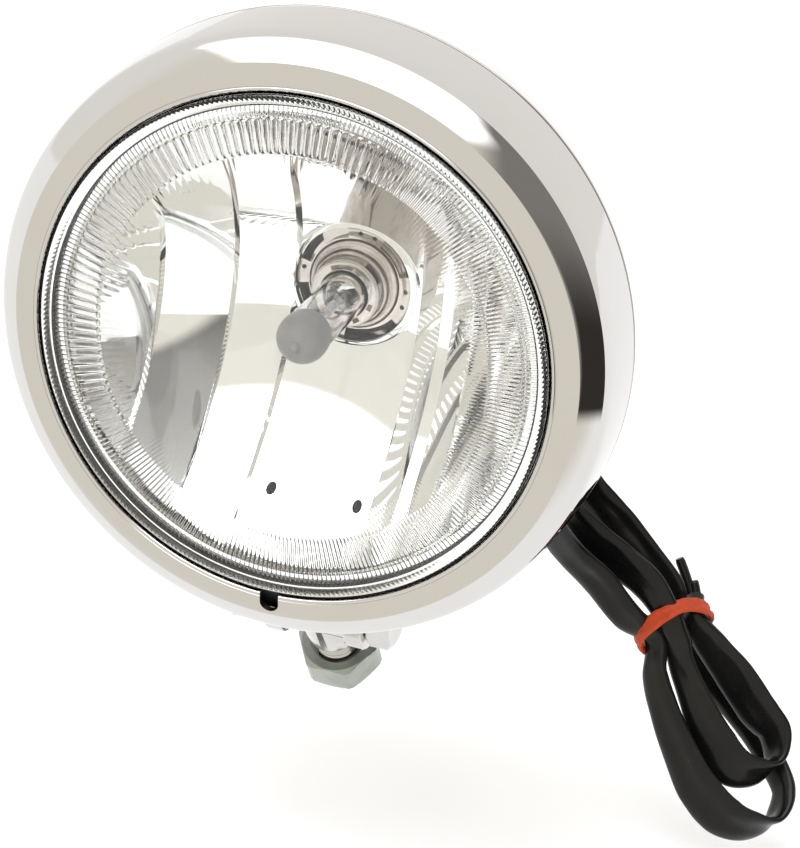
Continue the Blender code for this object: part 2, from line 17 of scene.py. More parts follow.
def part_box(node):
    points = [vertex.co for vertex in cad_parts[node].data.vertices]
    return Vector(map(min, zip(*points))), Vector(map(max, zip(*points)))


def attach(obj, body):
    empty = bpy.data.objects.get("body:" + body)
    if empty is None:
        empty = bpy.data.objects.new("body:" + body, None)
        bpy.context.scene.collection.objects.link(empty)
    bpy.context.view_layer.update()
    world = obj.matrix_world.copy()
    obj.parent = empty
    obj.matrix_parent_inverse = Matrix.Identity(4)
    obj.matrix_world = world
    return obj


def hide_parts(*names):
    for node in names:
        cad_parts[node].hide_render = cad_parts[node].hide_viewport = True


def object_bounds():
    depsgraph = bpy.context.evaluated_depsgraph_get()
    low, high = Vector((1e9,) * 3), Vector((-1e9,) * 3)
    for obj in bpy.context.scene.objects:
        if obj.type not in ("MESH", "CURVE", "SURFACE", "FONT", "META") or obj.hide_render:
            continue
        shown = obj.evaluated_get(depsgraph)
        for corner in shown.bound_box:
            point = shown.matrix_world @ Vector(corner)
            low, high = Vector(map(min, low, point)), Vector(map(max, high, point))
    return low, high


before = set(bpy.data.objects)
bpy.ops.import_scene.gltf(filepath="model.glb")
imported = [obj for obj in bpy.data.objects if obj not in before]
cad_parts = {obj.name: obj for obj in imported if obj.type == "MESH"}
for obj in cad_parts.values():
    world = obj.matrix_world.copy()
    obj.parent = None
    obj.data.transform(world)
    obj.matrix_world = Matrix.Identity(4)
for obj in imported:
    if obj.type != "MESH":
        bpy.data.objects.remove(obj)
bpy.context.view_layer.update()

MM = 0.001
SEAM = 23.5  # depth of the seam
SEAM_GAP = 0.15  # the ring ends this far in front of the seam, the shell starts as far behind
RING_RADIUS = 65.0
ring_low, ring_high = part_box("trim_ring")
ORIGIN = Vector(((ring_low.x + ring_high.x) / 2,
                 ring_high.y + SEAM_GAP * MM,
                 (ring_low.z + ring_high.z) / 2))

RIGHT = (1, 0, 0)
BACK = (0, 1, 0)
UP = (0, 0, 1)
PIVOT = Vector((0, 16, -73.2))  # middle of the swivel's cross bolt
STEM_FOOT = (0, PIVOT.y, 0)  # the swivel's upright stem stands on this line
STUD_DROP = math.radians(50)
STUD_AXIS = Vector((0, math.cos(STUD_DROP), -math.sin(STUD_DROP)))


# ---- mesh helpers

def to_row(points):
    """Lamp-frame millimetres to row-frame metres."""
    return np.asarray(points, float) * MM + np.array(ORIGIN)


def add_object(name, data):
    obj = bpy.data.objects.new(name, data)
    bpy.context.scene.collection.objects.link(obj)
    return obj


def add_mesh(name, points, faces, mat, smooth_angle=40.0):
    """Object from lamp-frame millimetre points."""
    mesh = bpy.data.meshes.new(name)
    mesh.from_pydata(to_row(points).tolist(), [], faces)
    mesh.validate()
    bm = bmesh.new()
    bm.from_mesh(mesh)
    bmesh.ops.recalc_face_normals(bm, faces=bm.faces)
    bm.to_mesh(mesh)
    bm.free()
    mesh.shade_smooth()
    mesh.set_sharp_from_angle(angle=math.radians(smooth_angle))
    mesh.materials.append(mat)
    return add_object(name, mesh)


def piece(obj, body, slot, *nodes):
    """Hides the CAD nodes that a finished object replaces, and parents the object to its body's empty."""
    if nodes:
        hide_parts(*nodes)
    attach(obj, body)


def apply_modifiers(obj):
    """Gives the object the mesh that its modifiers make."""
    graph = bpy.context.evaluated_depsgraph_get()
    mesh = bpy.data.meshes.new_from_object(obj.evaluated_get(graph), depsgraph=graph)
    obj.modifiers.clear()
    obj.data = mesh


def cut(obj, other, operation="DIFFERENCE"):
    """Boolean with another object, which is used up."""
    modifier = obj.modifiers.new("cut", "BOOLEAN")
    modifier.operation = operation
    modifier.solver = "EXACT"
    modifier.object = other
    apply_modifiers(obj)
    bpy.data.objects.remove(other)


def resharpen(obj, angle=40.0):
    """Smooth shading again after a cut, with sharp edges above the angle in degrees."""
    obj.data.shade_smooth()
    obj.data.set_sharp_from_angle(angle=math.radians(angle))


def rounded(points, radius, steps):
    """Polyline with its inner corners rounded; a corner may carry its own radius as a third number."""
    result = [tuple(points[0][:2])]
    for before, here, after in zip(points, points[1:], points[2:]):
        own = here[2] if len(here) > 2 else radius
        a, b, c = (Vector(p[:2]) for p in (before, here, after))
        reach = min(own, (a - b).length * 0.48, (c - b).length * 0.48)
        start = b + (a - b).normalized() * reach
        end = b + (c - b).normalized() * reach
        for i in range(steps + 1):
            t = i / steps
            result.append(tuple((1 - t) ** 2 * start + 2 * t * (1 - t) * b + t * t * end))
    result.append(tuple(points[-1][:2]))
    return result


def grid_faces(rows, columns, close_rows=False):
    """Quads between rows of points, each row a closed loop; close_rows joins the last row to the first."""
    faces = []
    for i in range(rows if close_rows else rows - 1):
        for j in range(columns):
            k, m = (i + 1) % rows, (j + 1) % columns
            faces.append((i * columns + j, i * columns + m, k * columns + m, k * columns + j))
    return faces


def lathe_mesh(profile, steps, closed=False, radius=None):
    """(points, faces) of a (radius, height) profile turned about local Z.

    radius(r, h, angles) gives one profile point its radii and heights round the axis.
    """
    angles = np.arange(steps) * 2 * math.pi / steps
    points = []
    on_axis = []
    for i, (r, h) in enumerate(profile):
        if r == 0:
            on_axis.append(i)
        if radius:
            r, h = radius(float(r), float(h), angles)
        points.append(np.stack([r * np.cos(angles), r * np.sin(angles), np.broadcast_to(h, steps)], -1))
    rows = len(profile)
    faces = grid_faces(rows, steps, close_rows=closed)
    points = np.concatenate(points)
    for i in on_axis:
        first = i * steps
        points[first:first + steps, :2] = 0
        merge = {first + j: first for j in range(steps)}
        faces = [tuple(dict.fromkeys(merge.get(v, v) for v in f)) for f in faces]
        faces = [f for f in faces if len(f) > 2]
    return points, faces


def aimed(points, location, axis, turn=0.0):
    """Points made about local Z, moved to location with Z along axis."""
    tip = Vector(UP).rotation_difference(Vector(axis)).to_matrix()
    rotation = tip @ Matrix.Rotation(turn, 3, "Z")
    return np.asarray(points) @ np.array(rotation).T + np.array(location)


def drop_loose(obj):
    """Removes points that no face uses."""
    bm = bmesh.new()
    bm.from_mesh(obj.data)
    bmesh.ops.delete(bm, geom=[v for v in bm.verts if not v.link_faces], context="VERTS")
    bm.to_mesh(obj.data)
    bm.free()


def turned(name, profile, mat, location=(0, 0, 0), axis=BACK, steps=96, closed=False, radius=None,
           turn=0.0, smooth_angle=40.0):
    """Object turned about an axis; closed joins the profile's end to its start."""
    points, faces = lathe_mesh(profile, steps, closed, radius)
    obj = add_mesh(name, aimed(points, location, axis, turn), faces, mat, smooth_angle)
    drop_loose(obj)
    return obj


def ring(name, section, mat, corner, corner_steps, steps, radius=None):
    """Ring about the optical axis, with the corners of its closed section rounded."""
    profile = rounded(section, corner, corner_steps)[:-1]
    return turned(name, optical(profile), mat, steps=steps, closed=True, radius=radius)


def optical(profile):
    """(radius, depth) profile as (radius, height) about the optical axis."""
    return [(r, d - SEAM) for r, d in profile]


def cylinder_at(location, axis, radius, low, high, steps=48):
    """Round cutter between two heights on an axis."""
    profile = [(0, low), (radius, low), (radius, high), (0, high)]
    return turned("cutter", profile, CHROME, location, axis, steps)


def box_mesh(low, high):
    """(points, faces) of a box between two corners."""
    corners = [(x, y, z) for x in (low[0], high[0]) for y in (low[1], high[1]) for z in (low[2], high[2])]
    faces = [(0, 1, 3, 2), (4, 6, 7, 5), (0, 4, 5, 1), (2, 3, 7, 6), (0, 2, 6, 4), (1, 5, 7, 3)]
    return corners, faces


def bezier(points, steps):
    """Points along a cubic curve with four control points."""
    a, b, c, d = (np.array(p, float) for p in points)
    t = np.linspace(0, 1, steps + 1)[:, None]
    curve = (1 - t) ** 3 * a + 3 * (1 - t) ** 2 * t * b + 3 * (1 - t) * t * t * c + t ** 3 * d
    return [tuple(p) for p in curve]


def end_faces(rows, columns):
    """The two faces that close a grid of points at its first and last row."""
    return [tuple(range(columns)), tuple(range((rows - 1) * columns, rows * columns))]


def tube(name, path, radius, mat, sides):
    """Round tube with closed ends. radius(share) gives its radius at a share of the path from 0 to 1."""
    path = [Vector(p) for p in path]
    count = len(path)
    normal = None
    points = []
    for i, p in enumerate(path):
        tangent = (path[min(i + 1, count - 1)] - path[max(i - 1, 0)]).normalized()
        normal = tangent.orthogonal().normalized() if normal is None else normal
        normal = (normal - tangent * normal.dot(tangent)).normalized()
        side = tangent.cross(normal)
        for k in range(sides):
            a = 2 * math.pi * k / sides
            points.append(tuple(p + (normal * math.cos(a) + side * math.sin(a)) * radius(i / (count - 1))))
    return add_mesh(name, points, grid_faces(count, sides) + end_faces(count, sides), mat, 60)


def smooth_path(points, steps):
    """Curve through all the points, with a number of steps between each two."""
    points = [Vector(p) for p in points]
    ends = [2 * points[0] - points[1]] + points + [2 * points[-1] - points[-2]]
    path = []
    for a, b, c, d in zip(ends, ends[1:], ends[2:], ends[3:]):
        for i in range(steps):
            t = i / steps
            path.append(0.5 * (2 * b + (c - a) * t + (2 * a - 5 * b + 4 * c - d) * t * t
                               + (3 * b - a - 3 * c + d) * t ** 3))
    path.append(points[-1])
    return path


def hex_radius(across_flats, low, high, chamfer):
    """Radius function of a hexagon whose ends are cut by 30 degree cones that start at radius chamfer."""
    def radius(r, h, angles):
        if r < across_flats / 2 - 0.01:
            return r, h
        from_flat = (angles + math.pi / 6) % (math.pi / 3) - math.pi / 6
        flat = across_flats / 2 / np.cos(from_flat)
        cone = chamfer + min(h - low, high - h) * math.sqrt(3)
        return np.minimum(flat, cone), h
    return radius


def hex_nut(name, mat, location, axis, across_flats, low, high, bore, turn=0.0):
    """Chamfered hexagon between two heights on an axis; a bore of 0 makes a solid bolt head."""
    chamfer = across_flats / 2 * 0.97
    near_end = (0, 0.08, 0.18, 0.3, 0.45, 0.65)
    heights = [low + t for t in near_end] + [high - t for t in reversed(near_end)]
    outer = [(across_flats / 2, h) for h in heights]
    if bore:
        profile = [(bore, low + 0.6), (bore + 0.7, low)] + outer + [(bore + 0.7, high), (bore, high - 0.6)]
    else:
        profile = [(0, low), (chamfer * 0.5, low)] + outer + [(chamfer * 0.5, high), (0, high)]
    return turned(name, profile, mat, location, axis, 96, bool(bore),
                  hex_radius(across_flats, low, high, chamfer), turn, 25.0)


def thread_radius(root, crest, pitch, low, high):
    """Radius function that winds a rounded thread between two heights."""
    def radius(r, h, angles):
        if not low <= h <= high or r < root - 0.01:
            return r, h
        phase = (h / pitch - angles / (2 * math.pi)) % 1.0
        wave = 0.5 - 0.5 * np.cos(2 * math.pi * phase)
        fade = min(1.0, (h - low) / pitch, (high - h) / pitch)
        return root + (crest - root) * wave ** 0.8 * max(fade, 0.0), h
    return radius


# ---- node helpers

BUMP_DEPTH = 0.0002


class Nodes:
    """Short way to write a node tree."""

    def __init__(self, tree):
        self.tree = tree

    def new(self, kind, **settings):
        node = self.tree.nodes.new(kind)
        for key, value in settings.items():
            setattr(node, key, value)
        return node

    def link(self, source, target):
        self.tree.links.new(source, target)

    def put(self, socket, value):
        if isinstance(value, bpy.types.NodeSocket):
            self.link(value, socket)
        else:
            socket.default_value = value

    def fill(self, node, **values):
        """Sets inputs by name, with _ for a space."""
        for key, value in values.items():
            self.put(node.inputs[key.replace("_", " ")], value)

    def math(self, operation, a, b):
        node = self.new("ShaderNodeMath", operation=operation)
        self.put(node.inputs[0], a)
        self.put(node.inputs[1], b)
        return node.outputs[0]

    def product(self, a, b):
        return self.math("MULTIPLY", a, b)

    def step(self, value, low, high, out_low=0.0, out_high=1.0):
        node = self.new("ShaderNodeMapRange", interpolation_type="SMOOTHSTEP")
        for socket, v in zip(node.inputs, (value, low, high, out_low, out_high)):
            self.put(socket, v)
        return node.outputs[0]

    def mix(self, factor, a, b):
        node = self.new("ShaderNodeMix", data_type="RGBA")
        self.put(node.inputs[0], factor)
        self.put(node.inputs[6], a if isinstance(a, bpy.types.NodeSocket) else (*a, 1.0))
        self.put(node.inputs[7], b if isinstance(b, bpy.types.NodeSocket) else (*b, 1.0))
        return node.outputs[2]

    def noise(self, vector, scale, detail=3.0, roughness=0.5):
        node = self.new("ShaderNodeTexNoise")
        self.fill(node, Vector=vector, Scale=scale, Detail=detail, Roughness=roughness)
        return node.outputs[0]

    def bump(self, height, strength):
        node = self.new("ShaderNodeBump")
        self.fill(node, Strength=strength, Distance=BUMP_DEPTH, Height=height)
        return node.outputs[0]

    def place(self):
        return self.new("ShaderNodeTexCoord").outputs["Object"]


def new_material(name, **values):
    """(material, nodes, shader) with Principled inputs set by name."""
    mat = bpy.data.materials.new(name)
    mat.use_nodes = True
    nodes = Nodes(mat.node_tree)
    shader = mat.node_tree.nodes["Principled BSDF"]
    nodes.fill(shader, **values)
    return mat, nodes, shader


def metal(name, colour, roughness, smudge, bump=0.0, stain=None, scale=60.0):
    """Plated or bare metal: smudges in its roughness, a faint uneven surface and an optional stain colour."""
    mat, n, shader = new_material(name, Metallic=1.0)
    where = n.place()
    patches = n.noise(where, scale, 4.0, 0.6)
    fine = n.noise(where, scale * 14, 3.0, 0.65)
    n.fill(shader, Roughness=n.step(patches, 0.35, 0.75, roughness, roughness + smudge))
    tint = tuple(c * 0.9 for c in colour) if stain is None else stain
    n.fill(shader, Base_Color=n.mix(n.step(patches, 0.45, 0.8, 0.0, 0.5), colour, tint))
    if bump:
        n.fill(shader, Normal=n.bump(fine, bump))
    return mat


def soft(name, colour, worn, roughness, bump, scale=400.0, coat=0.0, speck=0.0, shine=0.5):
    """Rubber, vinyl and plastic: colour drift to a worn colour, pale specks and fine grain."""
    mat, n, shader = new_material(name, Coat_Weight=coat, Coat_Roughness=0.16, Specular_IOR_Level=shine)
    where = n.place()
    drift = n.noise(where, scale * 0.12, 4.0, 0.6)
    grain = n.noise(where, scale, 4.0, 0.7)
    base = n.mix(n.step(drift, 0.3, 0.75), colour, worn)
    if speck:
        pale = tuple(min(1.0, c * 2.2 + 0.03) for c in worn)
        base = n.mix(n.step(grain, 0.66, 0.78, 0.0, speck), base, pale)
    dull = n.step(grain, 0.25, 0.8, roughness - 0.06, roughness + 0.08)
    n.fill(shader, Base_Color=base, Roughness=dull, Normal=n.bump(grain, bump))
    return mat


def glass(name, colour, ripple, scale):
    """Clear glass with a slow ripple in its surface."""
    mat, n, shader = new_material(name, Roughness=0.0, IOR=1.5, Transmission_Weight=1.0)
    wave = n.noise(n.place(), scale, 2.0, 0.5)
    paler = tuple(min(1.0, c * 1.01) for c in colour)
    n.fill(shader, Base_Color=n.mix(wave, colour, paler), Normal=n.bump(wave, ripple))
    return mat


CHROME = metal("chrome_plate", (0.70, 0.69, 0.68), 0.02, 0.03, stain=(0.66, 0.64, 0.61), scale=25.0)
CHROME_SMALL = metal("chrome_fittings", (0.66, 0.65, 0.64), 0.05, 0.10, 0.05,
                     stain=(0.52, 0.49, 0.46), scale=90.0)
MIRROR = metal("mirror_coat", (0.90, 0.90, 0.89), 0.012, 0.02, scale=40.0)
ZINC = metal("zinc_plate", (0.40, 0.43, 0.39), 0.26, 0.20, 0.25, stain=(0.28, 0.31, 0.29), scale=120.0)
STEEL = metal("bright_steel", (0.55, 0.54, 0.52), 0.16, 0.14, 0.12, stain=(0.44, 0.42, 0.39), scale=90.0)
BULB_STEEL = metal("bulb_base_steel", (0.56, 0.52, 0.48), 0.08, 0.08, 0.05,
                   stain=(0.38, 0.34, 0.30), scale=160.0)
TUNGSTEN = metal("tungsten_wire", (0.42, 0.41, 0.40), 0.25, 0.15, 0.1, scale=300.0)
LENS_GLASS = glass("lens_glass", (0.985, 0.99, 0.99), 0.02, 30.0)
BULB_GLASS = glass("bulb_glass", (0.99, 0.99, 0.99), 0.08, 120.0)
RUBBER = soft("black_rubber", (0.010, 0.010, 0.012), (0.020, 0.020, 0.022), 0.50, 0.15, 600.0)
SEALANT = soft("lens_sealant", (0.006, 0.006, 0.007), (0.012, 0.012, 0.013), 0.42, 0.1, 500.0)
VINYL = soft("black_vinyl", (0.004, 0.004, 0.0042), (0.010, 0.0098, 0.0092), 0.30, 0.08, 260.0,
             coat=0.30, speck=0.2, shine=0.15)
PLASTIC = soft("black_plastic", (0.015, 0.015, 0.016), (0.028, 0.028, 0.028), 0.45, 0.2, 500.0)
TIP_GREY = soft("grey_tip_paint", (0.46, 0.455, 0.46), (0.34, 0.33, 0.33), 0.38, 0.12, 500.0)
BAND_RED = soft("orange_red_rubber", (0.56, 0.072, 0.020), (0.38, 0.040, 0.014), 0.58, 0.35, 500.0,
                shine=0.25)
WIRE_RED = soft("red_wire", (0.60, 0.035, 0.02), (0.42, 0.02, 0.015), 0.38, 0.08, 500.0, coat=0.2)


# ---- housing

SHELL_END = 88.0  # depth of the shell's rear
WALL = 1.2
SCREW_DEPTH = 19.8
SCREW_HOLE = 2.4
CABLE_DEPTH = 45.5
CABLE_SIDE = Vector((0.692, 0, -0.722)).normalized()


def shell_curve(inset, steps=70):
    """Profile of the shell from its front edge to its rear, moved inwards by inset."""
    return bezier([(RING_RADIUS - inset, SEAM + SEAM_GAP), (54.5 - inset, 56 - 0.3 * inset),
                   (38 - inset, SHELL_END - inset), (0, SHELL_END - inset)], steps)


def shell_radius(depth):
    curve = np.array(shell_curve(0.0, 300))
    return float(np.interp(depth, curve[:, 1], curve[:, 0]))


def hole_frame():
    """Middle of the cable's hole in the shell, and the direction out of the shell there."""
    slope = (shell_radius(CABLE_DEPTH + 1) - shell_radius(CABLE_DEPTH - 1)) / 2
    centre = CABLE_SIDE * shell_radius(CABLE_DEPTH) + Vector((0, CABLE_DEPTH - SEAM, 0))
    return centre, (CABLE_SIDE + Vector((0, -slope, 0))).normalized()


def build_shell():
    """Bowl with a short inner flange that the trim ring slides over, and holes for stem, cable and screw."""
    stem_hole, cable_hole = 4.7, 6.3
    outer = shell_curve(0.0)
    inner = shell_curve(WALL)
    front = SEAM + SEAM_GAP
    flange = [(63.5, SEAM + 0.25), (63.2, 23.4), (63.2, 17.0), (62.0, 17.0), (62.0, 24.8)]
    profile = [(0.0, outer[-1][1])] + outer[::-1][1:-1]
    profile += [(RING_RADIUS, front + 0.12), (RING_RADIUS - 0.25, front)] + rounded(flange, 0.25, 3)
    profile += inner[3:-1] + [(0.0, inner[-1][1])]
    obj = turned("shell_bowl", optical(profile), CHROME, steps=288)
    centre, outward = hole_frame()
    cut(obj, cylinder_at((0, PIVOT.y, -shell_radius(PIVOT.y + SEAM)), UP, stem_hole, -8, 8))
    cut(obj, cylinder_at(centre, outward, cable_hole, -8, 8))
    cut(obj, cylinder_at((0, SCREW_DEPTH - SEAM, -62.6), UP, SCREW_HOLE, -4, 4))
    resharpen(obj)
    piece(obj, "lamp_head", "chrome", "shell")


def build_trim_ring():
    """Rolled lip notched at the bottom, fine groove, sloping face, and a broad shoulder back to the seam."""
    rear = SEAM - 0.2
    lip = [(54.9, 2.4), (54.35, 1.5, 0.3), (54.4, 0.35, 0.4), (54.75, 0.02, 0.35), (55.15, 0.12, 0.2),
           (55.32, 0.42, 0.08), (55.5, 0.24, 0.1)]
    face = [(57.8, 0.86, 1.0), (59.75, 1.50, 0.25)]
    shoulder = [(61.1, 2.55, 0.7), (62.3, 3.55, 0.8), (63.45, 4.62, 0.8), (64.2, 5.7, 0.7), (64.52, 6.6, 0.5),
                (64.72, 7.7, 0.6), (64.88, 9.6, 1.0), (RING_RADIUS, 13.5, 2.0), (RING_RADIUS, 22.9, 0.4),
                (64.55, rear, 0.3)]
    inside = [(63.9, rear, 0.1), (63.8, 11.0, 1.0), (63.2, 7.6, 0.8), (61.8, 5.6, 0.8), (60.3, 4.2, 0.8),
              (58.9, 3.1, 0.8), (56.0, 2.6, 0.3), (54.9, 2.4)]
    obj = ring("trim_ring_bezel", lip + face + shoulder + inside, CHROME, 0.4, 5, 360)
    notch_half, notch_top = 2.0, -56.7
    cut(obj, cylinder_at((0, 0.5 - SEAM, notch_top), BACK, notch_half, -3, 2.6))
    notch = box_mesh(Vector((-notch_half, -3 - SEAM, notch_top)), Vector((notch_half, 3.1 - SEAM, -50)))
    cut(obj, add_mesh("cutter", *notch, CHROME))
    cut(obj, cylinder_at((0, SCREW_DEPTH - SEAM, -64.4), UP, SCREW_HOLE, -4, 4))
    resharpen(obj, 50.0)
    piece(obj, "lamp_head", "chrome", "trim_ring")


def build_ring_screw():
    """Domed screw with a slot, threaded upwards into the nut plate."""
    seat = Vector((0, SCREW_DEPTH - SEAM, -65.3))
    head = [(0, 2.1), (2.0, 2.1, 0.5), (3.3, 1.5, 0.6), (3.6, 0.3, 0.2), (3.6, 0.0, 0.1), (1.9, 0.0, 0.1)]
    thread = [(1.9, -0.3 - 0.09 * i) for i in range(88)]
    profile = rounded(head, 0.3, 3) + thread + [(0, -8.2)]
    obj = turned("trim_screw", profile, CHROME_SMALL, seat, (0, 0, -1), 48,
                 radius=thread_radius(1.6, 1.9, 0.7, -8.1, -0.3))
    slot = box_mesh(seat + Vector((-0.4, -4.5, -3)), seat + Vector((0.4, 4.5, -1.2)))
    cut(obj, add_mesh("cutter", *slot, CHROME_SMALL))
    resharpen(obj)
    piece(obj, "lamp_head", "chrome", "trim_ring_screw")


# ---- lens

TEETH = 316  # of the knurl and of the fine flutes
LENS_STEPS = TEETH * 6
FLUTES_IN, FLUTES_OUT = 41.0, 50.75
KNURL_IN, KNURL_OUT = 51.9, 53.75


def flute_height(angles, share):
    """Height of the flutes: a fine outer row, then broad ones at the lower left and fine ones elsewhere.

    share runs from 0 at the inner edge of the flutes to 1 at their outer edge.
    """
    lower_left = math.radians(218)
    outer_row = 0.77
    toward = 0.5 + 0.5 * np.cos(angles - lower_left)
    broad = np.clip((toward - 0.55) / 0.3, 0, 1)
    broad = broad * broad * (3 - 2 * broad) * (share < outer_row - 0.01)
    wide = np.abs(np.cos(angles * TEETH / 4)) ** 0.8
    fine = 0.5 + 0.5 * np.cos(angles * TEETH)
    rise = np.clip(min(share / 0.08, (1 - share) / 0.02, abs(share - outer_row) / 0.03 + 0.15), 0, 1)
    return (broad * wide * 0.55 + (1 - broad) * fine * 0.24) * rise


def lens_shape(r, h, angles):
    """Radii and heights of a ring of the lens, with the knurl on its rim and the flutes on its back."""
    depth = h + SEAM
    if KNURL_IN < r < KNURL_OUT and depth < 0.6:
        crest = math.sin((r - KNURL_IN) / (KNURL_OUT - KNURL_IN) * math.pi)
        slant = angles + (r - 52.8) * 0.013
        return r, h - 0.18 * crest * (0.5 + 0.5 * np.cos(slant * TEETH))
    if FLUTES_IN < r < FLUTES_OUT and depth > 1.5:
        share = (r - FLUTES_IN) / (FLUTES_OUT - FLUTES_IN)
        end = 0.16 * np.cos(angles * TEETH) if r > 50.3 else 0.0
        return r + end, h - flute_height(angles, share)
    return r, h


def build_lens():
    """Pressed glass: crowned front, raised knurled rim, short skirt, and a back with flutes near its edge."""
    front = [(0, -2.2), (9, -2.15), (18, -2.0), (26, -1.75), (34, -1.4), (41, -1.0), (46, -0.65),
             (49.9, -0.35), (50.8, -0.2), (51.3, 0.1), (51.6, 0.35), (51.85, 0.3)]
    rim = [(52.1, 0.1), (52.4, 0.0), (52.7, -0.05), (53.0, -0.03), (53.3, 0.05), (53.6, 0.2), (53.9, 0.7)]
    skirt = [(53.95, 1.6), (53.95, 2.5), (53.8, 2.7), (52.2, 2.7), (51.6, 2.7), (51.0, 2.7)]
    flute_rings = (50.7, 50.55, 50.4, 50.1, 49.6, 49.1, 48.75, 48.55, 48.4, 48.2, 47.9, 47.0, 45.5, 44.0,
                   42.8, 42.0, 41.5, 41.2)
    back = [(r, 2.0 + (r - FLUTES_IN) * 0.07) for r in flute_rings]
    back += [(40.9, 1.98), (36, 1.8), (28, 1.5), (18, 1.2), (9, 1.05), (0, 1.0)]
    obj = turned("lens_glass_cover", optical(front + rim + skirt + back), LENS_GLASS, steps=LENS_STEPS,
                 radius=lens_shape, smooth_angle=60)
    piece(obj, "lamp_head", "lens_glass", "lens")


def build_seals():
    """Rubber ring round the lens, sealant between lens and reflector, and a thin ring in the seam."""
    gasket = [(54.1, 1.6, 0.2), (54.3, 1.25, 0.15), (54.6, 1.9, 0.2), (54.75, 2.75, 0.3), (55.8, 3.2, 0.4),
              (58.7, 4.9, 0.3), (58.7, 8.3, 0.2), (54.15, 8.3, 0.2), (54.1, 1.6)]
    obj = ring("gasket_ring", gasket, RUBBER, 0.3, 3, 240)
    piece(obj, "lamp_head", "black_rubber", "lens_gasket")
    bead = [(51.45, 5.2, 0.1), (51.45, 7.7, 0.2), (50.75, 7.7, 0.2), (50.75, 2.95, 0.05), (50.9, 2.95, 0.05),
            (51.45, 5.2)]
    obj = ring("sealant_bead", bead, SEALANT, 0.3, 4, 240)
    piece(obj, "lamp_head", "black_rubber", "lens_sealant")
    band = [(63.2, 23.1), (64.7, 23.1, 0.1), (64.7, 23.7, 0.1), (63.2, 23.7, 0.1), (63.2, 23.1)]
    obj = ring("seam_gasket", band, RUBBER, 0.1, 3, 240)
    piece(obj, "lamp_head", "black_rubber")


# ---- reflector

MOUTH = 49.4
HOLE = 12.45
PARABOLA = 68.7  # four times the focal length
VERTEX = 42.24  # depth of the parabola's deepest point
# Left edge, right edge, sideways curve, tilt (extra depth at the right edge) and step (extra depth all over).
FACETS = (
    (-49.4, -36.3, -0.4, -0.90, 0.0),
    (-35.8, -24.0, -0.4, -0.85, 0.0),
    (-23.5, -12.4, 0.6, -1.10, 0.0),
    (-11.9, 14.4, 0.5, 0.0, 0.0),
    (14.9, 20.3, -0.4, -0.15, -0.2),
    (20.5, 22.9, 0.2, 0.60, 0.1),
    (23.1, 28.3, -0.4, -0.10, 0.1),
    (28.6, 35.5, -0.4, -0.30, 0.0),
    (35.7, 38.1, 0.2, 0.65, 0.1),
    (38.3, 49.4, -0.2, -0.20, 0.0))


def facet_depth(x, z, facet):
    """Depth of one facet: the parabola up and down, its own curve from side to side, and a tilt."""
    left, right, curve, tilt, step = facet
    middle, half = (left + right) / 2, (right - left) / 2
    sideways = middle * middle + 2 * middle * (x - middle) + curve * (x - middle) ** 2
    return VERTEX - (z * z + sideways) / PARABOLA + tilt * (x - middle) / half + step


def reflector_columns():
    """(x, facet) of each column of points; a narrow wall joins the last of one facet to the next facet."""
    columns = []
    for facet in FACETS:
        left, right = facet[:2]
        count = max(6, int((right - left) / 0.5))
        columns += [(left + (right - left) * i / count, facet) for i in range(count + 1)]
    return columns


def reflector_mesh():
    """(points, faces) of the facets inside the mouth and outside the bulb's hole."""
    half_rows = 60
    points = []
    columns = reflector_columns()
    for x, facet in columns:
        reach = math.sqrt(max(MOUTH * MOUTH - x * x, 0.01))
        inner = math.sqrt(max(HOLE * HOLE - x * x, 0.0))
        heights = [-reach + (reach - inner) * i / half_rows for i in range(half_rows + 1)]
        heights += [inner + (reach - inner) * i / half_rows for i in range(half_rows + 1)]
        points += [(x, facet_depth(x, z, facet) - SEAM, z) for z in heights]
    rows = 2 * (half_rows + 1)
    faces = []
    for c in range(len(columns) - 1):
        for r in range(rows - 1):
            if r != half_rows:
                a, b = c * rows + r, (c + 1) * rows + r
                faces.append((a, b, b + 1, a + 1))
    return points, faces


def build_reflector():
    """Faceted bowl with a wall behind it and two small holes under the bulb."""
    obj = add_mesh("reflector_bowl", *reflector_mesh(), MIRROR, 25)
    bm = bmesh.new()
    bm.from_mesh(obj.data)
    bmesh.ops.remove_doubles(bm, verts=bm.verts, dist=0.00001)
    slivers = [f for f in bm.faces if f.calc_area() < 1e-12]
    bmesh.ops.delete(bm, geom=slivers, context="FACES")
    bmesh.ops.recalc_face_normals(bm, faces=bm.faces)
    if sum(f.normal.y * f.calc_area() for f in bm.faces) > 0:
        bmesh.ops.reverse_faces(bm, faces=bm.faces)
    bm.to_mesh(obj.data)
    bm.free()
    solid = obj.modifiers.new("wall", "SOLIDIFY")
    solid.thickness = 1.6 * MM
    solid.offset = -1.0
    apply_modifiers(obj)
    for x, z in ((-7.2, -39.4), (11.6, -39.0)):
        cut(obj, cylinder_at((x, 19 - SEAM, z), BACK, 1.05, -8, 12, 24))
    resharpen(obj, 25)
    drop_loose(obj)
    piece(obj, "lamp_head", "mirror_coat", "reflector")


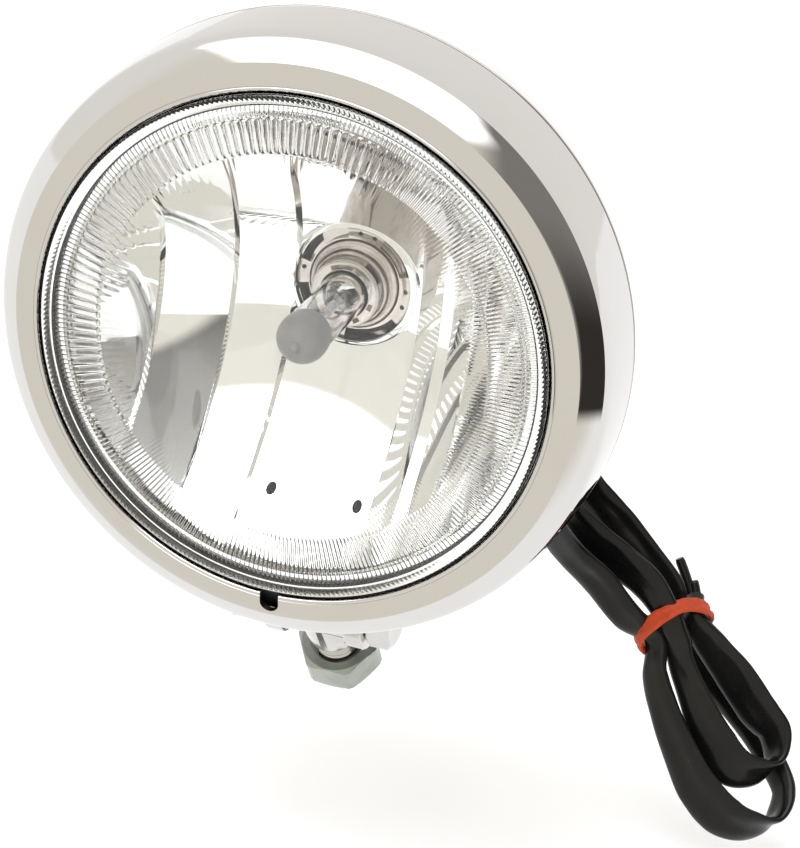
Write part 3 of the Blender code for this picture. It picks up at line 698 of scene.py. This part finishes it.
def build_reflector_edges():
    """Flange at the reflector's mouth, with a channel for the lens skirt, and the neck at the bulb's hole."""
    mouth = [(49.45, 3.0), (49.45, 9.8, 0.3), (50.6, 10.4, 0.3), (58.5, 10.1, 0.2), (58.5, 8.6, 0.2),
             (54.05, 8.6), (54.05, 2.85), (51.55, 2.85), (51.55, 7.85), (50.7, 7.85), (50.65, 3.0),
             (49.45, 3.0)]
    piece(ring("reflector_flange", mouth, MIRROR, 0.1, 3, 180), "lamp_head", "mirror_coat")
    neck = [(12.5, 39.4), (12.5, 47.0), (15.0, 47.0, 0.4), (15.0, 41.2, 0.5), (13.6, 39.8, 0.4), (12.5, 39.4)]
    piece(ring("reflector_neck", neck, MIRROR, 0.2, 3, 120), "lamp_head", "mirror_coat")


# ---- bulb

LUG_RADIUS = 12.1
DISC_RADIUS = 10.7


def lug_radius(r, h, angles):
    """Radius function of a disc with three bayonet lugs."""
    if r < LUG_RADIUS - 0.1:
        return r, h
    turn = (angles + math.pi / 3) % (2 * math.pi / 3) - math.pi / 3
    edge = np.clip((math.radians(17) - np.abs(turn)) / math.radians(2.5), 0, 1)
    return DISC_RADIUS + (LUG_RADIUS - DISC_RADIUS) * edge, h


def squeezed(r, h, angles):
    """Radius function of a round section pressed narrower in one direction."""
    return r * (0.55 + 0.45 * np.abs(np.cos(angles))), h


def plug_ribs(r, h, angles):
    """Radius function that puts grip ribs on the outside of the connector."""
    ribs = 0.18 * np.cos(angles * 18) if r > 9.0 else 0.0
    return r + ribs, h


def arc_block(inner, outer, front, rear, low, high):
    """Solid sector between two radii, two depths and two angles in degrees about the optical axis."""
    count = 13
    points = []
    for i in range(count):
        a = math.radians(low + (high - low) * i / (count - 1))
        for r, d in ((inner, front), (outer, front), (outer, rear), (inner, rear)):
            points.append((r * math.cos(a), d - SEAM, r * math.sin(a)))
    return points, grid_faces(count, 4) + end_faces(count, 4)


def build_bulb_seat():
    """Bayonet seat in the reflector's neck, with four windows and five small holes."""
    section = [(9.7, 40.6), (9.7, 42.2), (12.35, 42.2), (12.35, 40.6), (11.6, 40.35, 0.3), (10.4, 40.6, 0.3),
               (9.7, 40.6)]
    obj = ring("bulb_seat", section, BULB_STEEL, 0.2, 3, 120)
    for low, high in ((102, 164), (18, 62), (-95, -35), (190, 232)):
        cut(obj, add_mesh("cutter", *arc_block(9.95, 13.0, 39.0, 44.0, low, high), BULB_STEEL))
    hole_circle = 11.1
    for angle in (72, 88, -16, 2, 172):
        a = math.radians(angle)
        place = (hole_circle * math.cos(a), 41 - SEAM, hole_circle * math.sin(a))
        cut(obj, cylinder_at(place, BACK, 0.5, -3, 3, 20))
    resharpen(obj)
    piece(obj, "lamp_head", "bright_steel", "bulb_collar")


def build_bulb_flange():
    """Stepped metal base that grips the glass, with three slots round it and three lugs behind."""
    bore = 5.1
    front = [(bore, 36.0), (bore, 34.2, 0.15), (5.3, 34.0, 0.1), (7.0, 34.05, 0.3), (7.4, 34.8, 0.4),
             (7.4, 37.6, 0.3), (7.9, 38.0), (7.9, 39.2, 0.3), (8.6, 39.9, 0.4), (9.3, 40.1, 0.3),
             (9.5, 40.6, 0.3), (9.5, 42.6, 0.1), (LUG_RADIUS, 42.6)]
    profile = rounded(front, 0.2, 3) + [(LUG_RADIUS, 43.8), (bore, 43.8)]
    obj = turned("bulb_base_flange", optical(profile), BULB_STEEL, steps=144, closed=True, radius=lug_radius)
    for low, high in ((76, 122), (-24, -10), (-66, -52)):
        cut(obj, add_mesh("cutter", *arc_block(5.5, 6.5, 33.0, 36.0, low, high), BULB_STEEL))
    resharpen(obj)
    piece(obj, "bulb", "bright_steel", "bulb_flange")
    cup = [(0, 33.6), (3.0, 33.6, 0.4), (3.6, 33.3, 0.3), (4.2, 33.7, 0.3), (4.2, 37.2), (0, 37.2)]
    obj = turned("bulb_base_cup", optical(rounded(cup, 0.2, 4)), BULB_STEEL, steps=72)
    piece(obj, "bulb", "bright_steel")


def build_bulb_glass():
    """Glass tube with a domed front, and the flat pinched glass inside its rear."""
    outside = bezier([(0, 4.5), (3.8, 4.5), (4.9, 6.2), (4.9, 9.5)], 14) + [(4.9, 20), (4.9, 30), (4.9, 36)]
    outside += rounded([(4.9, 36), (4.9, 38.5, 1.0), (4.8, 39.8, 1.0), (4.8, 41.6, 0.3), (4.4, 42.0)], 0.6, 4)
    inside = [(4.1, 42.0), (4.3, 40.5), (4.4, 38.0), (4.4, 34), (4.4, 20), (4.4, 10.5)]
    inside += bezier([(4.4, 9.5), (4.4, 6.6), (3.3, 5.1), (0, 5.1)], 12)
    obj = turned("bulb_glass_tube", optical(outside + inside), BULB_GLASS, steps=72, smooth_angle=70)
    piece(obj, "bulb", "bulb_glass", "bulb_glass")
    bridge = [(0.0, 29.6), (1.2, 29.6), (3.2, 30.6, 0.8), (3.6, 33.2), (0.0, 33.2)]
    obj = turned("bulb_pinch_glass", optical(rounded(bridge, 0.4, 4)), BULB_GLASS, steps=48, radius=squeezed)
    piece(obj, "bulb", "bulb_glass")


def build_bulb_tip():
    """Grey paint over the front of the glass, with the small nub of the sealed tip."""
    outside = bezier([(0, 3.6), (2.95, 3.6), (5.35, 5.9), (5.35, 8.9)], 18)[5:]
    outside += bezier([(5.35, 9.3), (5.35, 10.6), (5.2, 11.6), (5.0, 12.2)], 6)
    inside = [(4.95, 12.2), (4.95, 9.5)] + bezier([(4.95, 9.3), (4.95, 6.1), (3.7, 4.25), (0, 4.25)], 14)
    nub = [(0, 2.7)] + bezier([(0.3, 2.7), (0.95, 2.75), (1.0, 3.2), (1.35, 3.75)], 8)
    obj = turned("bulb_tip_cap", optical(nub + outside + inside), TIP_GREY, steps=72, smooth_angle=60)
    piece(obj, "bulb", "grey_tip", "bulb_tip_coat")


def build_filament():
    """One wire: a lead, the coil along the optical axis, and the other lead back beside it."""
    turns, per_turn = 11, 16
    coil_radius, coil_rear, coil_length = 0.95, 27.4, 5.9
    path = [(-1.8, 42.3, 0), (-1.8, 34, 0), (-1.8, 28.6, 0), (-1.5, 27.8, 0)]
    for i in range(turns * per_turn + 1):
        a = math.pi + 2 * math.pi * i / per_turn
        depth = coil_rear - coil_length * i / (turns * per_turn)
        path.append((coil_radius * math.cos(a), depth, coil_radius * math.sin(a)))
    path += [(0.2, 20.9, 0), (1.4, 20.6, 0), (2.3, 20.9, 0), (2.6, 22.0, 0), (2.6, 30, 0), (2.6, 42.3, 0)]
    path = [(x, d - SEAM, z) for x, d, z in path]
    obj = tube("filament_and_leads", path, lambda share: 0.16 if 0.03 < share < 0.965 else 0.26, TUNGSTEN, 8)
    piece(obj, "bulb", "tungsten", "bulb_filament")


def build_bulb_rear():
    """Plastic rear body of the bulb and the ribbed connector on it."""
    body = [(0, 44.1), (10.0, 44.1), (10.0, 46.8, 0.4), (8.8, 47.3), (8.8, 52.0, 0.5), (0, 52.0)]
    obj = turned("bulb_rear_body", optical(rounded(body, 0.3, 3)), PLASTIC, steps=96)
    piece(obj, "bulb", "black_plastic", "bulb_body")
    plug = [(6.2, 52.4), (9.4, 52.4, 0.4), (9.4, 62.0, 1.0), (6.6, 67.0, 0.8), (3.3, 67.0, 0.4),
            (3.3, 60.0, 0.2), (6.2, 60.0, 0.2), (6.2, 52.4)]
    obj = ring("bulb_connector", plug, PLASTIC, 0.3, 3, 144, radius=plug_ribs)
    piece(obj, "bulb", "black_plastic", "bulb_plug")


# ---- swivel mount

BOLT_HOLE = 4.2
M8_FLATS = 13.0


def build_outer_saddle():
    """Chrome seat between clevis and shell, hollowed to the shell's curve."""
    section = rounded([(4.4, -50), (9.5, -50), (9.5, -63.3, 0.4), (4.4, -63.3)], 0.3, 4)
    obj = turned("outer_saddle_seat", section, CHROME_SMALL, STEM_FOOT, UP, 96, closed=True)
    gap = 0.45
    bowl = [(0, 11.0), (RING_RADIUS + gap, 11.0)]
    bowl += [(r + gap, d) for r, d in shell_curve(0.0, 60)[:-1]] + [(0, SHELL_END + gap)]
    cut(obj, turned("cutter", optical(bowl), CHROME, steps=192))
    resharpen(obj)
    piece(obj, "lamp_head", "chrome", "outer_saddle")


def ear_mesh(x0, x1, radius, top):
    """A rounded ear as a solid plate between x0 and x1, with softened edges."""
    edge = 0.45
    turns = [math.pi + math.pi * i / 32 for i in range(33)]
    outline = [(math.cos(a), math.sin(a)) for a in turns]
    layers = [(x0, radius - edge), (x0 + 0.12, radius - 0.2), (x0 + edge, radius), (x1 - edge, radius),
              (x1 - 0.12, radius - 0.2), (x1, radius - edge)]
    points = []
    for x, r in layers:
        row = [(-r, top)] + [(r * c, r * s) for c, s in outline] + [(r, top)]
        points += [(x, PIVOT.y + y, PIVOT.z + z) for y, z in row]
    count = len(outline) + 2
    return points, grid_faces(len(layers), count) + end_faces(len(layers), count)


def build_clevis():
    """Fork of a round base and two rounded ears, with a threaded stem through the shell."""
    disc = rounded([(0, -63.6), (9.6, -63.6), (9.6, -65.9), (0, -65.9)], 0.4, 4)
    base = turned("clevis_fork", disc, CHROME_SMALL, STEM_FOOT, UP, 96)
    for low, high in ((-11.0, -6.9), (6.9, 11.0)):
        cut(base, add_mesh("cutter", *ear_mesh(low, high, 8.5, -64.8 - PIVOT.z), CHROME_SMALL), "UNION")
    thread = [(4.0, -43.2 - 0.12 * i) for i in range(160)]
    profile = [(0, -42.5), (3.4, -42.5), (3.9, -43.0)] + thread + [(4.0, -64.4), (0, -64.4)]
    stem = turned("cutter", profile, CHROME_SMALL, STEM_FOOT, UP, 60,
                  radius=thread_radius(3.6, 4.0, 1.25, -62.2, -43.3))
    cut(base, stem, "UNION")
    cut(base, cylinder_at(PIVOT, RIGHT, BOLT_HOLE, -14, 14, 64))
    resharpen(base, 30)
    piece(base, "swivel_yoke", "chrome", "swivel_clevis")


def build_pivot_bolt():
    bolt = hex_nut("pivot_bolt_head", CHROME_SMALL, PIVOT, RIGHT, M8_FLATS, 11.3, 16.6, 0)
    thread = [(3.9, 11.6 - 0.1 * i) for i in range(331)]
    profile = [(0, 11.6)] + thread + [(3.3, -21.5), (0, -21.5)]
    shank = turned("cutter", profile, CHROME_SMALL, PIVOT, RIGHT, 60,
                   radius=thread_radius(3.55, 3.9, 1.25, -21.3, -9.0))
    cut(bolt, shank, "UNION")
    resharpen(bolt, 30)
    piece(bolt, "swivel_yoke", "chrome", "pivot_bolt")


def build_swivel_nuts():
    nut = hex_nut("stem_nut", ZINC, STEM_FOOT, UP, M8_FLATS, -51.3, -44.7, 4.3)
    piece(nut, "swivel_yoke", "zinc_plate", "clevis_nut")
    nut = hex_nut("pivot_hex_nut", CHROME_SMALL, PIVOT, RIGHT, M8_FLATS, -19.7, -13.2, BOLT_HOLE)
    piece(nut, "swivel_yoke", "chrome", "pivot_nut")


def build_lock_washer(name, node, centre, axis, low, high):
    """Spring washer between two heights on an axis, split on one side."""
    section = rounded([(4.3, low), (7.2, low, 0.25), (7.2, high, 0.25), (4.3, high)], 0.2, 3)
    washer = turned(name, section, ZINC, centre, axis, 72, closed=True)
    axis = Vector(axis)
    split = Vector(BACK if axis.z else UP)
    half = 0.35 * Vector([abs(c) for c in axis.cross(split)])
    start = Vector(centre) + axis * (low - 1) - half
    end = Vector(centre) + axis * (low + 3) + half + 9 * split
    cut(washer, add_mesh("cutter", *box_mesh(start, end), ZINC))
    resharpen(washer)
    piece(washer, "swivel_yoke", "zinc_plate", node)


def build_stud():
    """Eye on the cross bolt with a smooth shank and a threaded end."""
    barrel = rounded([(0, -6.5), (7.0, -6.5), (7.0, 6.5), (0, 6.5)], 0.5, 4)
    eye = turned("threaded_stud", barrel, CHROME_SMALL, PIVOT, RIGHT, 96)
    profile = rounded([(0, 1.5), (6.2, 1.5), (6.2, 13.0, 0.35), (4.7, 13.05, 0.1)], 0.3, 4)
    profile += [(5.0, 13.2 + 0.11 * i) for i in range(186)] + [(4.5, 33.7), (4.2, 34.0), (0, 34.0)]
    rod = turned("cutter", profile[::-1], CHROME_SMALL, PIVOT, STUD_AXIS, 72,
                 radius=thread_radius(4.45, 5.0, 1.5, 13.3, 33.6))
    cut(eye, rod, "UNION")
    cut(eye, cylinder_at(PIVOT, RIGHT, BOLT_HOLE, -9, 9, 64))
    resharpen(eye, 30)
    piece(eye, "stud", "chrome", "mounting_stud")


def build_mounting_nut():
    nut = hex_nut("mounting_nut", ZINC, PIVOT, STUD_AXIS, 16.0, 18.9, 27.3, 5.3, math.pi / 6)
    piece(nut, "nut", "zinc_plate", "mount_nut")


# ---- cable

SLEEVE_EDGE = Vector((0.62, -0.08, 0.77)).normalized()
SLEEVE_AREA = 5.0  # half width times half thickness
SLEEVE_SIDES = 32
BAND_CENTRE = Vector((69.8, 45.0, -75.8))
BAND_ALONG = Vector((0.498, 0.136, -0.856)).normalized()
BAND_ACROSS = Vector((0.762, 0.401, 0.507)).normalized()
BAND_FRONT = BAND_ALONG.cross(BAND_ACROSS).normalized()


def band_point(across, towards):
    """A point inside the rubber band, from its middle."""
    return BAND_CENTRE + BAND_ACROSS * across + BAND_FRONT * towards


def cable_points():
    """Centreline of the sleeve with the half width of its flattened section at each point."""
    centre, outward = hole_frame()
    points = [(*(centre + outward * step), 2.6) for step in (-6.0, 0.0, 5.0)]
    points += [(47, 33, -57, 3.8), (54, 37, -65, 4.4), (61, 39, -73, 3.9), (*band_point(-4.6, 0.4), 2.7)]
    points += [(68, 40, -85, 3.2), (71, 39, -92, 4.0), (76, 38, -101, 4.8), (81, 37, -108, 5.5),
               (87, 38, -114, 5.9), (93, 40, -116, 5.4), (97, 43, -115, 4.2), (98, 47, -110, 3.2)]
    points += [(94, 50, -105, 3.6), (88, 51, -98, 4.0), (80, 51, -90, 3.8), (*band_point(0.8, -3.8), 2.8)]
    points += [(67, 49, -69, 3.8), (60, 50, -63, 4.5), (54, 50, -57, 4.5), (48, 49, -51, 4.2),
               (44, 50, -47, 3.4), (41, 48, -48, 3.0), (43, 42, -51, 3.4)]
    points += [(49, 41, -56, 4.2), (56, 42, -61, 4.6), (64, 42, -66, 4.2), (*band_point(0.0, 2.9), 2.8)]
    points += [(73, 42, -82, 3.4), (78, 40, -90, 4.2), (83, 40, -98, 5.1), (88, 40, -103, 5.2),
               (93, 43, -104, 4.4), (95, 46, -102, 3.6), (94, 48, -97, 4.2), (90, 47, -92, 5.0),
               (84, 47, -85, 5.0), (78, 47, -79, 4.2), (*band_point(4.6, 0.2), 2.8), (72, 51, -71, 2.7)]
    return points


def sleeve_ring(centre, side, flat, wide):
    """One section of the sleeve: a flattened loop with a dent along each broad side, a little wrinkled."""
    thick = SLEEVE_AREA / wide
    hollow = min(max((wide - 2.7) / 1.8, 0.0), 1.0)
    row = []
    for k in range(SLEEVE_SIDES):
        a = 2 * math.pi * k / SLEEVE_SIDES
        c, s = math.cos(a), math.sin(a)
        u = math.copysign(abs(c) ** 0.85, c) * wide
        v = math.copysign(abs(s) ** 0.95, s) * thick
        dent = (0.10 + 0.30 * hollow) * math.exp(-(u / (0.42 * wide)) ** 2) * s
        where = Vector((centre.x * 0.22, centre.z * 0.22, u * 0.35 + (3 if s > 0 else 9)))
        row.append(tuple(centre + side * u + flat * (v - dent + 0.16 * noise.noise(where))))
    return row


def build_cable():
    """Flattened vinyl sleeve: one fixed direction turns its broad side, and the band pinches it."""
    steps = 12
    controls = cable_points()
    path = smooth_path([c[:3] for c in controls], steps)
    last = len(path) - 1
    points = []
    for i, centre in enumerate(path):
        tangent = (path[min(i + 1, last)] - path[max(i - 1, 0)]).normalized()
        share = i / last
        twist = math.radians(15) * noise.noise(Vector((share * 11.0, 3.1, 0.4)))
        flat = tangent.cross(SLEEVE_EDGE).normalized()
        flat = flat * math.cos(twist) + tangent.cross(flat) * math.sin(twist)
        side = tangent.cross(flat).normalized()
        segment = min(i // steps, len(controls) - 2)
        t = i / steps - segment
        wide = controls[segment][3] * (1 - t) + controls[segment + 1][3] * t
        wide += 0.12 * noise.noise(Vector((share * 33.0, 7.7, 1.9)))
        points += sleeve_ring(centre, side, flat, wide)
    faces = grid_faces(len(path), SLEEVE_SIDES) + end_faces(len(path), SLEEVE_SIDES)
    obj = add_mesh("cable_sleeve_vinyl", points, faces, VINYL, 60)
    piece(obj, "lamp_head", "black_vinyl", "cable_sleeve")


def build_lead_end(name, node, slot, start, end):
    """Short insulated end of a lead, where it comes out of the sleeve."""
    bow = Vector((0, 0.3, 0.2))
    path = [Vector(start).lerp(Vector(end), t) + bow * math.sin(t * 3.1) for t in np.linspace(0, 1, 12)]
    obj = tube(name, path, lambda share: 0.9 if share > 0.97 else 1.1, VINYL, 20)
    piece(obj, "lamp_head", slot, node)


def build_band():
    """Two turns of a flat rubber band, side by side and a little wrinkled."""
    count, sides = 160, 32
    half_width, half_depth = 8.3, 7.6
    lean = math.radians(52)
    along = BAND_ALONG * math.cos(lean) + BAND_FRONT * math.sin(lean)
    front = BAND_FRONT * math.cos(lean) - BAND_ALONG * math.sin(lean)
    points = []
    for i in range(count):
        angle = 2 * math.pi * i / count
        across, ahead = BAND_ACROSS * math.cos(angle), front * math.sin(angle)
        centre = BAND_CENTRE + across * half_width + ahead * half_depth
        outward = (across / half_width + ahead / half_depth).normalized()
        sway = 0.5 * noise.noise(Vector((math.cos(angle) * 1.3, math.sin(angle) * 1.3, 2.0)))
        for k in range(sides):
            c, s = math.cos(2 * math.pi * k / sides), math.sin(2 * math.pi * k / sides)
            u = math.copysign(abs(c) ** 0.6, c) * (1.8 + 0.2 * math.sin(3 * angle + 1))
            v = math.copysign(abs(s) ** 0.6, s) * 0.62
            groove = 0.38 * math.exp(-((u - 0.3 * math.sin(2 * angle)) / 0.3) ** 2)
            ripple = 0.2 * noise.noise(Vector((u * 0.9, math.cos(angle) * 9, math.sin(angle) * 9)))
            v += (ripple - groove) if s > 0 else 0.0
            points.append(tuple(centre + along * (u + sway) + outward * v))
    obj = add_mesh("rubber_band_turns", points, grid_faces(count, sides, close_rows=True), BAND_RED, 70)
    piece(obj, "lamp_head", "red_rubber", "rubber_band")


def build_grommet():
    centre, outward = hole_frame()
    section = [(3.3, -3.8), (7.4, -3.8, 0.5), (7.9, -2.9, 0.4), (5.9, -2.3), (5.9, 0.5), (8.0, 0.7, 0.5),
               (7.6, 2.4, 0.8), (5.2, 3.6, 0.8), (3.3, 3.6), (3.3, -3.8)]
    obj = turned("grommet_rubber", rounded(section, 0.3, 3)[:-1], RUBBER, centre, outward, 72, closed=True)
    piece(obj, "lamp_head", "black_rubber", "cable_grommet")


def build_wire(name, node, mat, slot, side):
    """Wire inside the shell, from the connector round to the grommet; side is -1 or 1."""
    centre, outward = hole_frame()
    entry = centre - outward * 7.6
    x = 1.7 * side
    apart = Vector((0.8 * side, 0, 0.9 * side))
    path = [Vector((x, 62.0 - SEAM, 0)), Vector((x, 70.0 - SEAM, 0)), Vector((4 + x, 75.0 - SEAM, -7)),
            Vector((16, 69.0 - SEAM, -20)) + 1.5 * apart, Vector((27, 56.0 - SEAM, -30)) + 1.5 * apart,
            entry + apart * 1.2]
    obj = tube(name, smooth_path(path, 12), lambda share: 1.05, mat, 14)
    piece(obj, "lamp_head", slot, node)


def finish_cad_nodes():
    """Materials of the CAD nodes whose own shape is kept."""
    kept = {"trim_ring_hook": STEEL, "trim_screw_plate": STEEL, "inner_saddle": STEEL, "bulb_seal": RUBBER,
            "bulb_terminal_left": STEEL, "bulb_terminal_right": STEEL}
    kept.update({f"retaining_clip_{i}": STEEL for i in range(1, 5)})
    for name, mat in kept.items():
        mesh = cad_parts[name].data
        mesh.materials.clear()
        mesh.materials.append(mat)


# ---- studio

def build_world():
    """Soft studio: bright top, pale table behind, warm grey room in front, dark side to the right."""
    world = bpy.data.worlds.new("studio")
    bpy.context.scene.world = world
    world.use_nodes = True
    n = Nodes(world.node_tree)
    background = world.node_tree.nodes["Background"]
    direction = n.new("ShaderNodeTexCoord").outputs["Generated"]
    split = n.new("ShaderNodeSeparateXYZ")
    n.link(direction, split.inputs[0])
    x, y, z = split.outputs
    wobble = n.product(n.math("SUBTRACT", n.noise(direction, 3.5, 2.0), 0.5), 0.05)
    front = n.product(n.step(n.product(y, -1.0), 0.20, 0.42), n.step(z, -0.97, -0.86))
    behind_low = n.step(n.math("ADD", z, wobble), 0.015, -0.015)
    top = n.product(n.step(z, 0.63, 0.71), n.step(y, 0.18, -0.16))
    slant = n.math("ADD", y, n.product(z, 0.25))
    dark_side = n.product(n.step(x, 0.36, 0.56), n.step(z, -0.47, -0.40))
    dark_side = n.product(dark_side, n.product(n.step(slant, -0.61, -0.55), n.step(y, 0.15, 0.12)))
    side_colour = n.mix(n.step(z, -0.10, 0.45), (0.04, 0.036, 0.033), (0.26, 0.25, 0.235))
    colour = n.mix(behind_low, (0.96, 0.94, 0.90), (1.12, 1.11, 1.10))
    colour = n.mix(front, colour, (0.89, 0.85, 0.76))
    colour = n.mix(top, colour, (3.2, 3.2, 3.2))
    colour = n.mix(dark_side, colour, side_colour)
    n.fill(background, Color=colour, Strength=1.0)


def build_floor():
    """Pale floor a little below the lamp; its own faint glow softens the shadow."""
    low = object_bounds()[0].z - 0.004
    mat, n, shader = new_material("pale_floor", Roughness=0.9)
    patches = n.mix(n.noise(n.place(), 3.0), (0.60, 0.60, 0.60), (0.62, 0.62, 0.62))
    n.fill(shader, Base_Color=patches, Emission_Color=(1, 1, 1, 1), Emission_Strength=0.42)
    mesh = bpy.data.meshes.new("floor")
    size = 6.0
    mesh.from_pydata([(-size, -size, low), (size, -size, low), (size, size, low), (-size, size, low)], [],
                     [(0, 1, 2, 3)])
    mesh.materials.append(mat)
    floor = add_object("floor", mesh)
    floor.visible_glossy = False


def build_lights():
    """One large soft lamp overhead, left of the camera."""
    data = bpy.data.lights.new("overhead_soft", "AREA")
    data.shape = "DISK"
    data.size = 0.9
    data.energy = 4.5
    data.color = (1.0, 0.985, 0.96)
    lamp = add_object("overhead_soft", data)
    lamp.location = (-0.25, -0.30, 1.25)
    lamp.rotation_euler = (Vector((0, 0, 0.05)) - lamp.location).to_track_quat("-Z", "Y").to_euler()
    lamp.visible_glossy = False


def build_camera():
    """Camera above and to the right of the lamp's axis, rolled a little, one metre from the lens."""
    azimuth, elevation, roll = math.radians(17.6), math.radians(23.5), math.radians(5.0)
    distance = 1.0
    aim_right, aim_below = 0.022, 0.01458  # it looks this far past the middle of the lens
    back = Vector((math.sin(azimuth) * math.cos(elevation), -math.cos(azimuth) * math.cos(elevation),
                   math.sin(elevation)))
    flat_right = Vector((math.cos(azimuth), math.sin(azimuth), 0))
    flat_up = back.cross(flat_right)
    right = flat_right * math.cos(roll) + flat_up * math.sin(roll)
    up = flat_up * math.cos(roll) - flat_right * math.sin(roll)
    place = ORIGIN + Vector((0, -SEAM * MM, 0)) + back * distance
    back = (back - right * aim_right + up * aim_below).normalized()
    right = up.cross(back).normalized()
    up = back.cross(right)
    data = bpy.data.cameras.new("camera")
    data.sensor_width = 36.0
    data.lens = 212.264
    data.clip_start = 0.05
    data.clip_end = 50.0
    camera = add_object("camera", data)
    matrix = Matrix((right, up, back)).transposed().to_4x4()
    matrix.translation = place
    camera.matrix_world = matrix
    bpy.context.scene.camera = camera
    bpy.context.scene.view_settings.view_transform = "Standard"


build_shell()
build_trim_ring()
build_ring_screw()
build_lens()
build_seals()
build_reflector()
build_reflector_edges()
build_bulb_seat()
build_bulb_flange()
build_bulb_glass()
build_bulb_tip()
build_filament()
build_bulb_rear()
build_outer_saddle()
build_clevis()
build_pivot_bolt()
build_swivel_nuts()
build_lock_washer("stem_lock_washer", "clevis_lock_washer", STEM_FOOT, UP, -53.3, -51.6)
build_lock_washer("pivot_spring_washer", "pivot_lock_washer", PIVOT, RIGHT, -12.9, -11.3)
build_stud()
build_mounting_nut()
build_cable()
build_lead_end("lead_tail_red", "lead_end_red", "red_wire", (71.6, 51.6, -71.6), (67.2, 53.4, -63.5))
build_lead_end("lead_tail_black", "lead_end_black", "black_vinyl", (72.8, 50.6, -71.4), (71.2, 52.0, -67.4))
build_band()
build_grommet()
build_wire("inner_wire_red", "wire_red", WIRE_RED, "red_wire", -1)
build_wire("inner_wire_black", "wire_black", VINYL, "black_vinyl", 1)
finish_cad_nodes()
build_world()
build_floor()
build_lights()
build_camera()
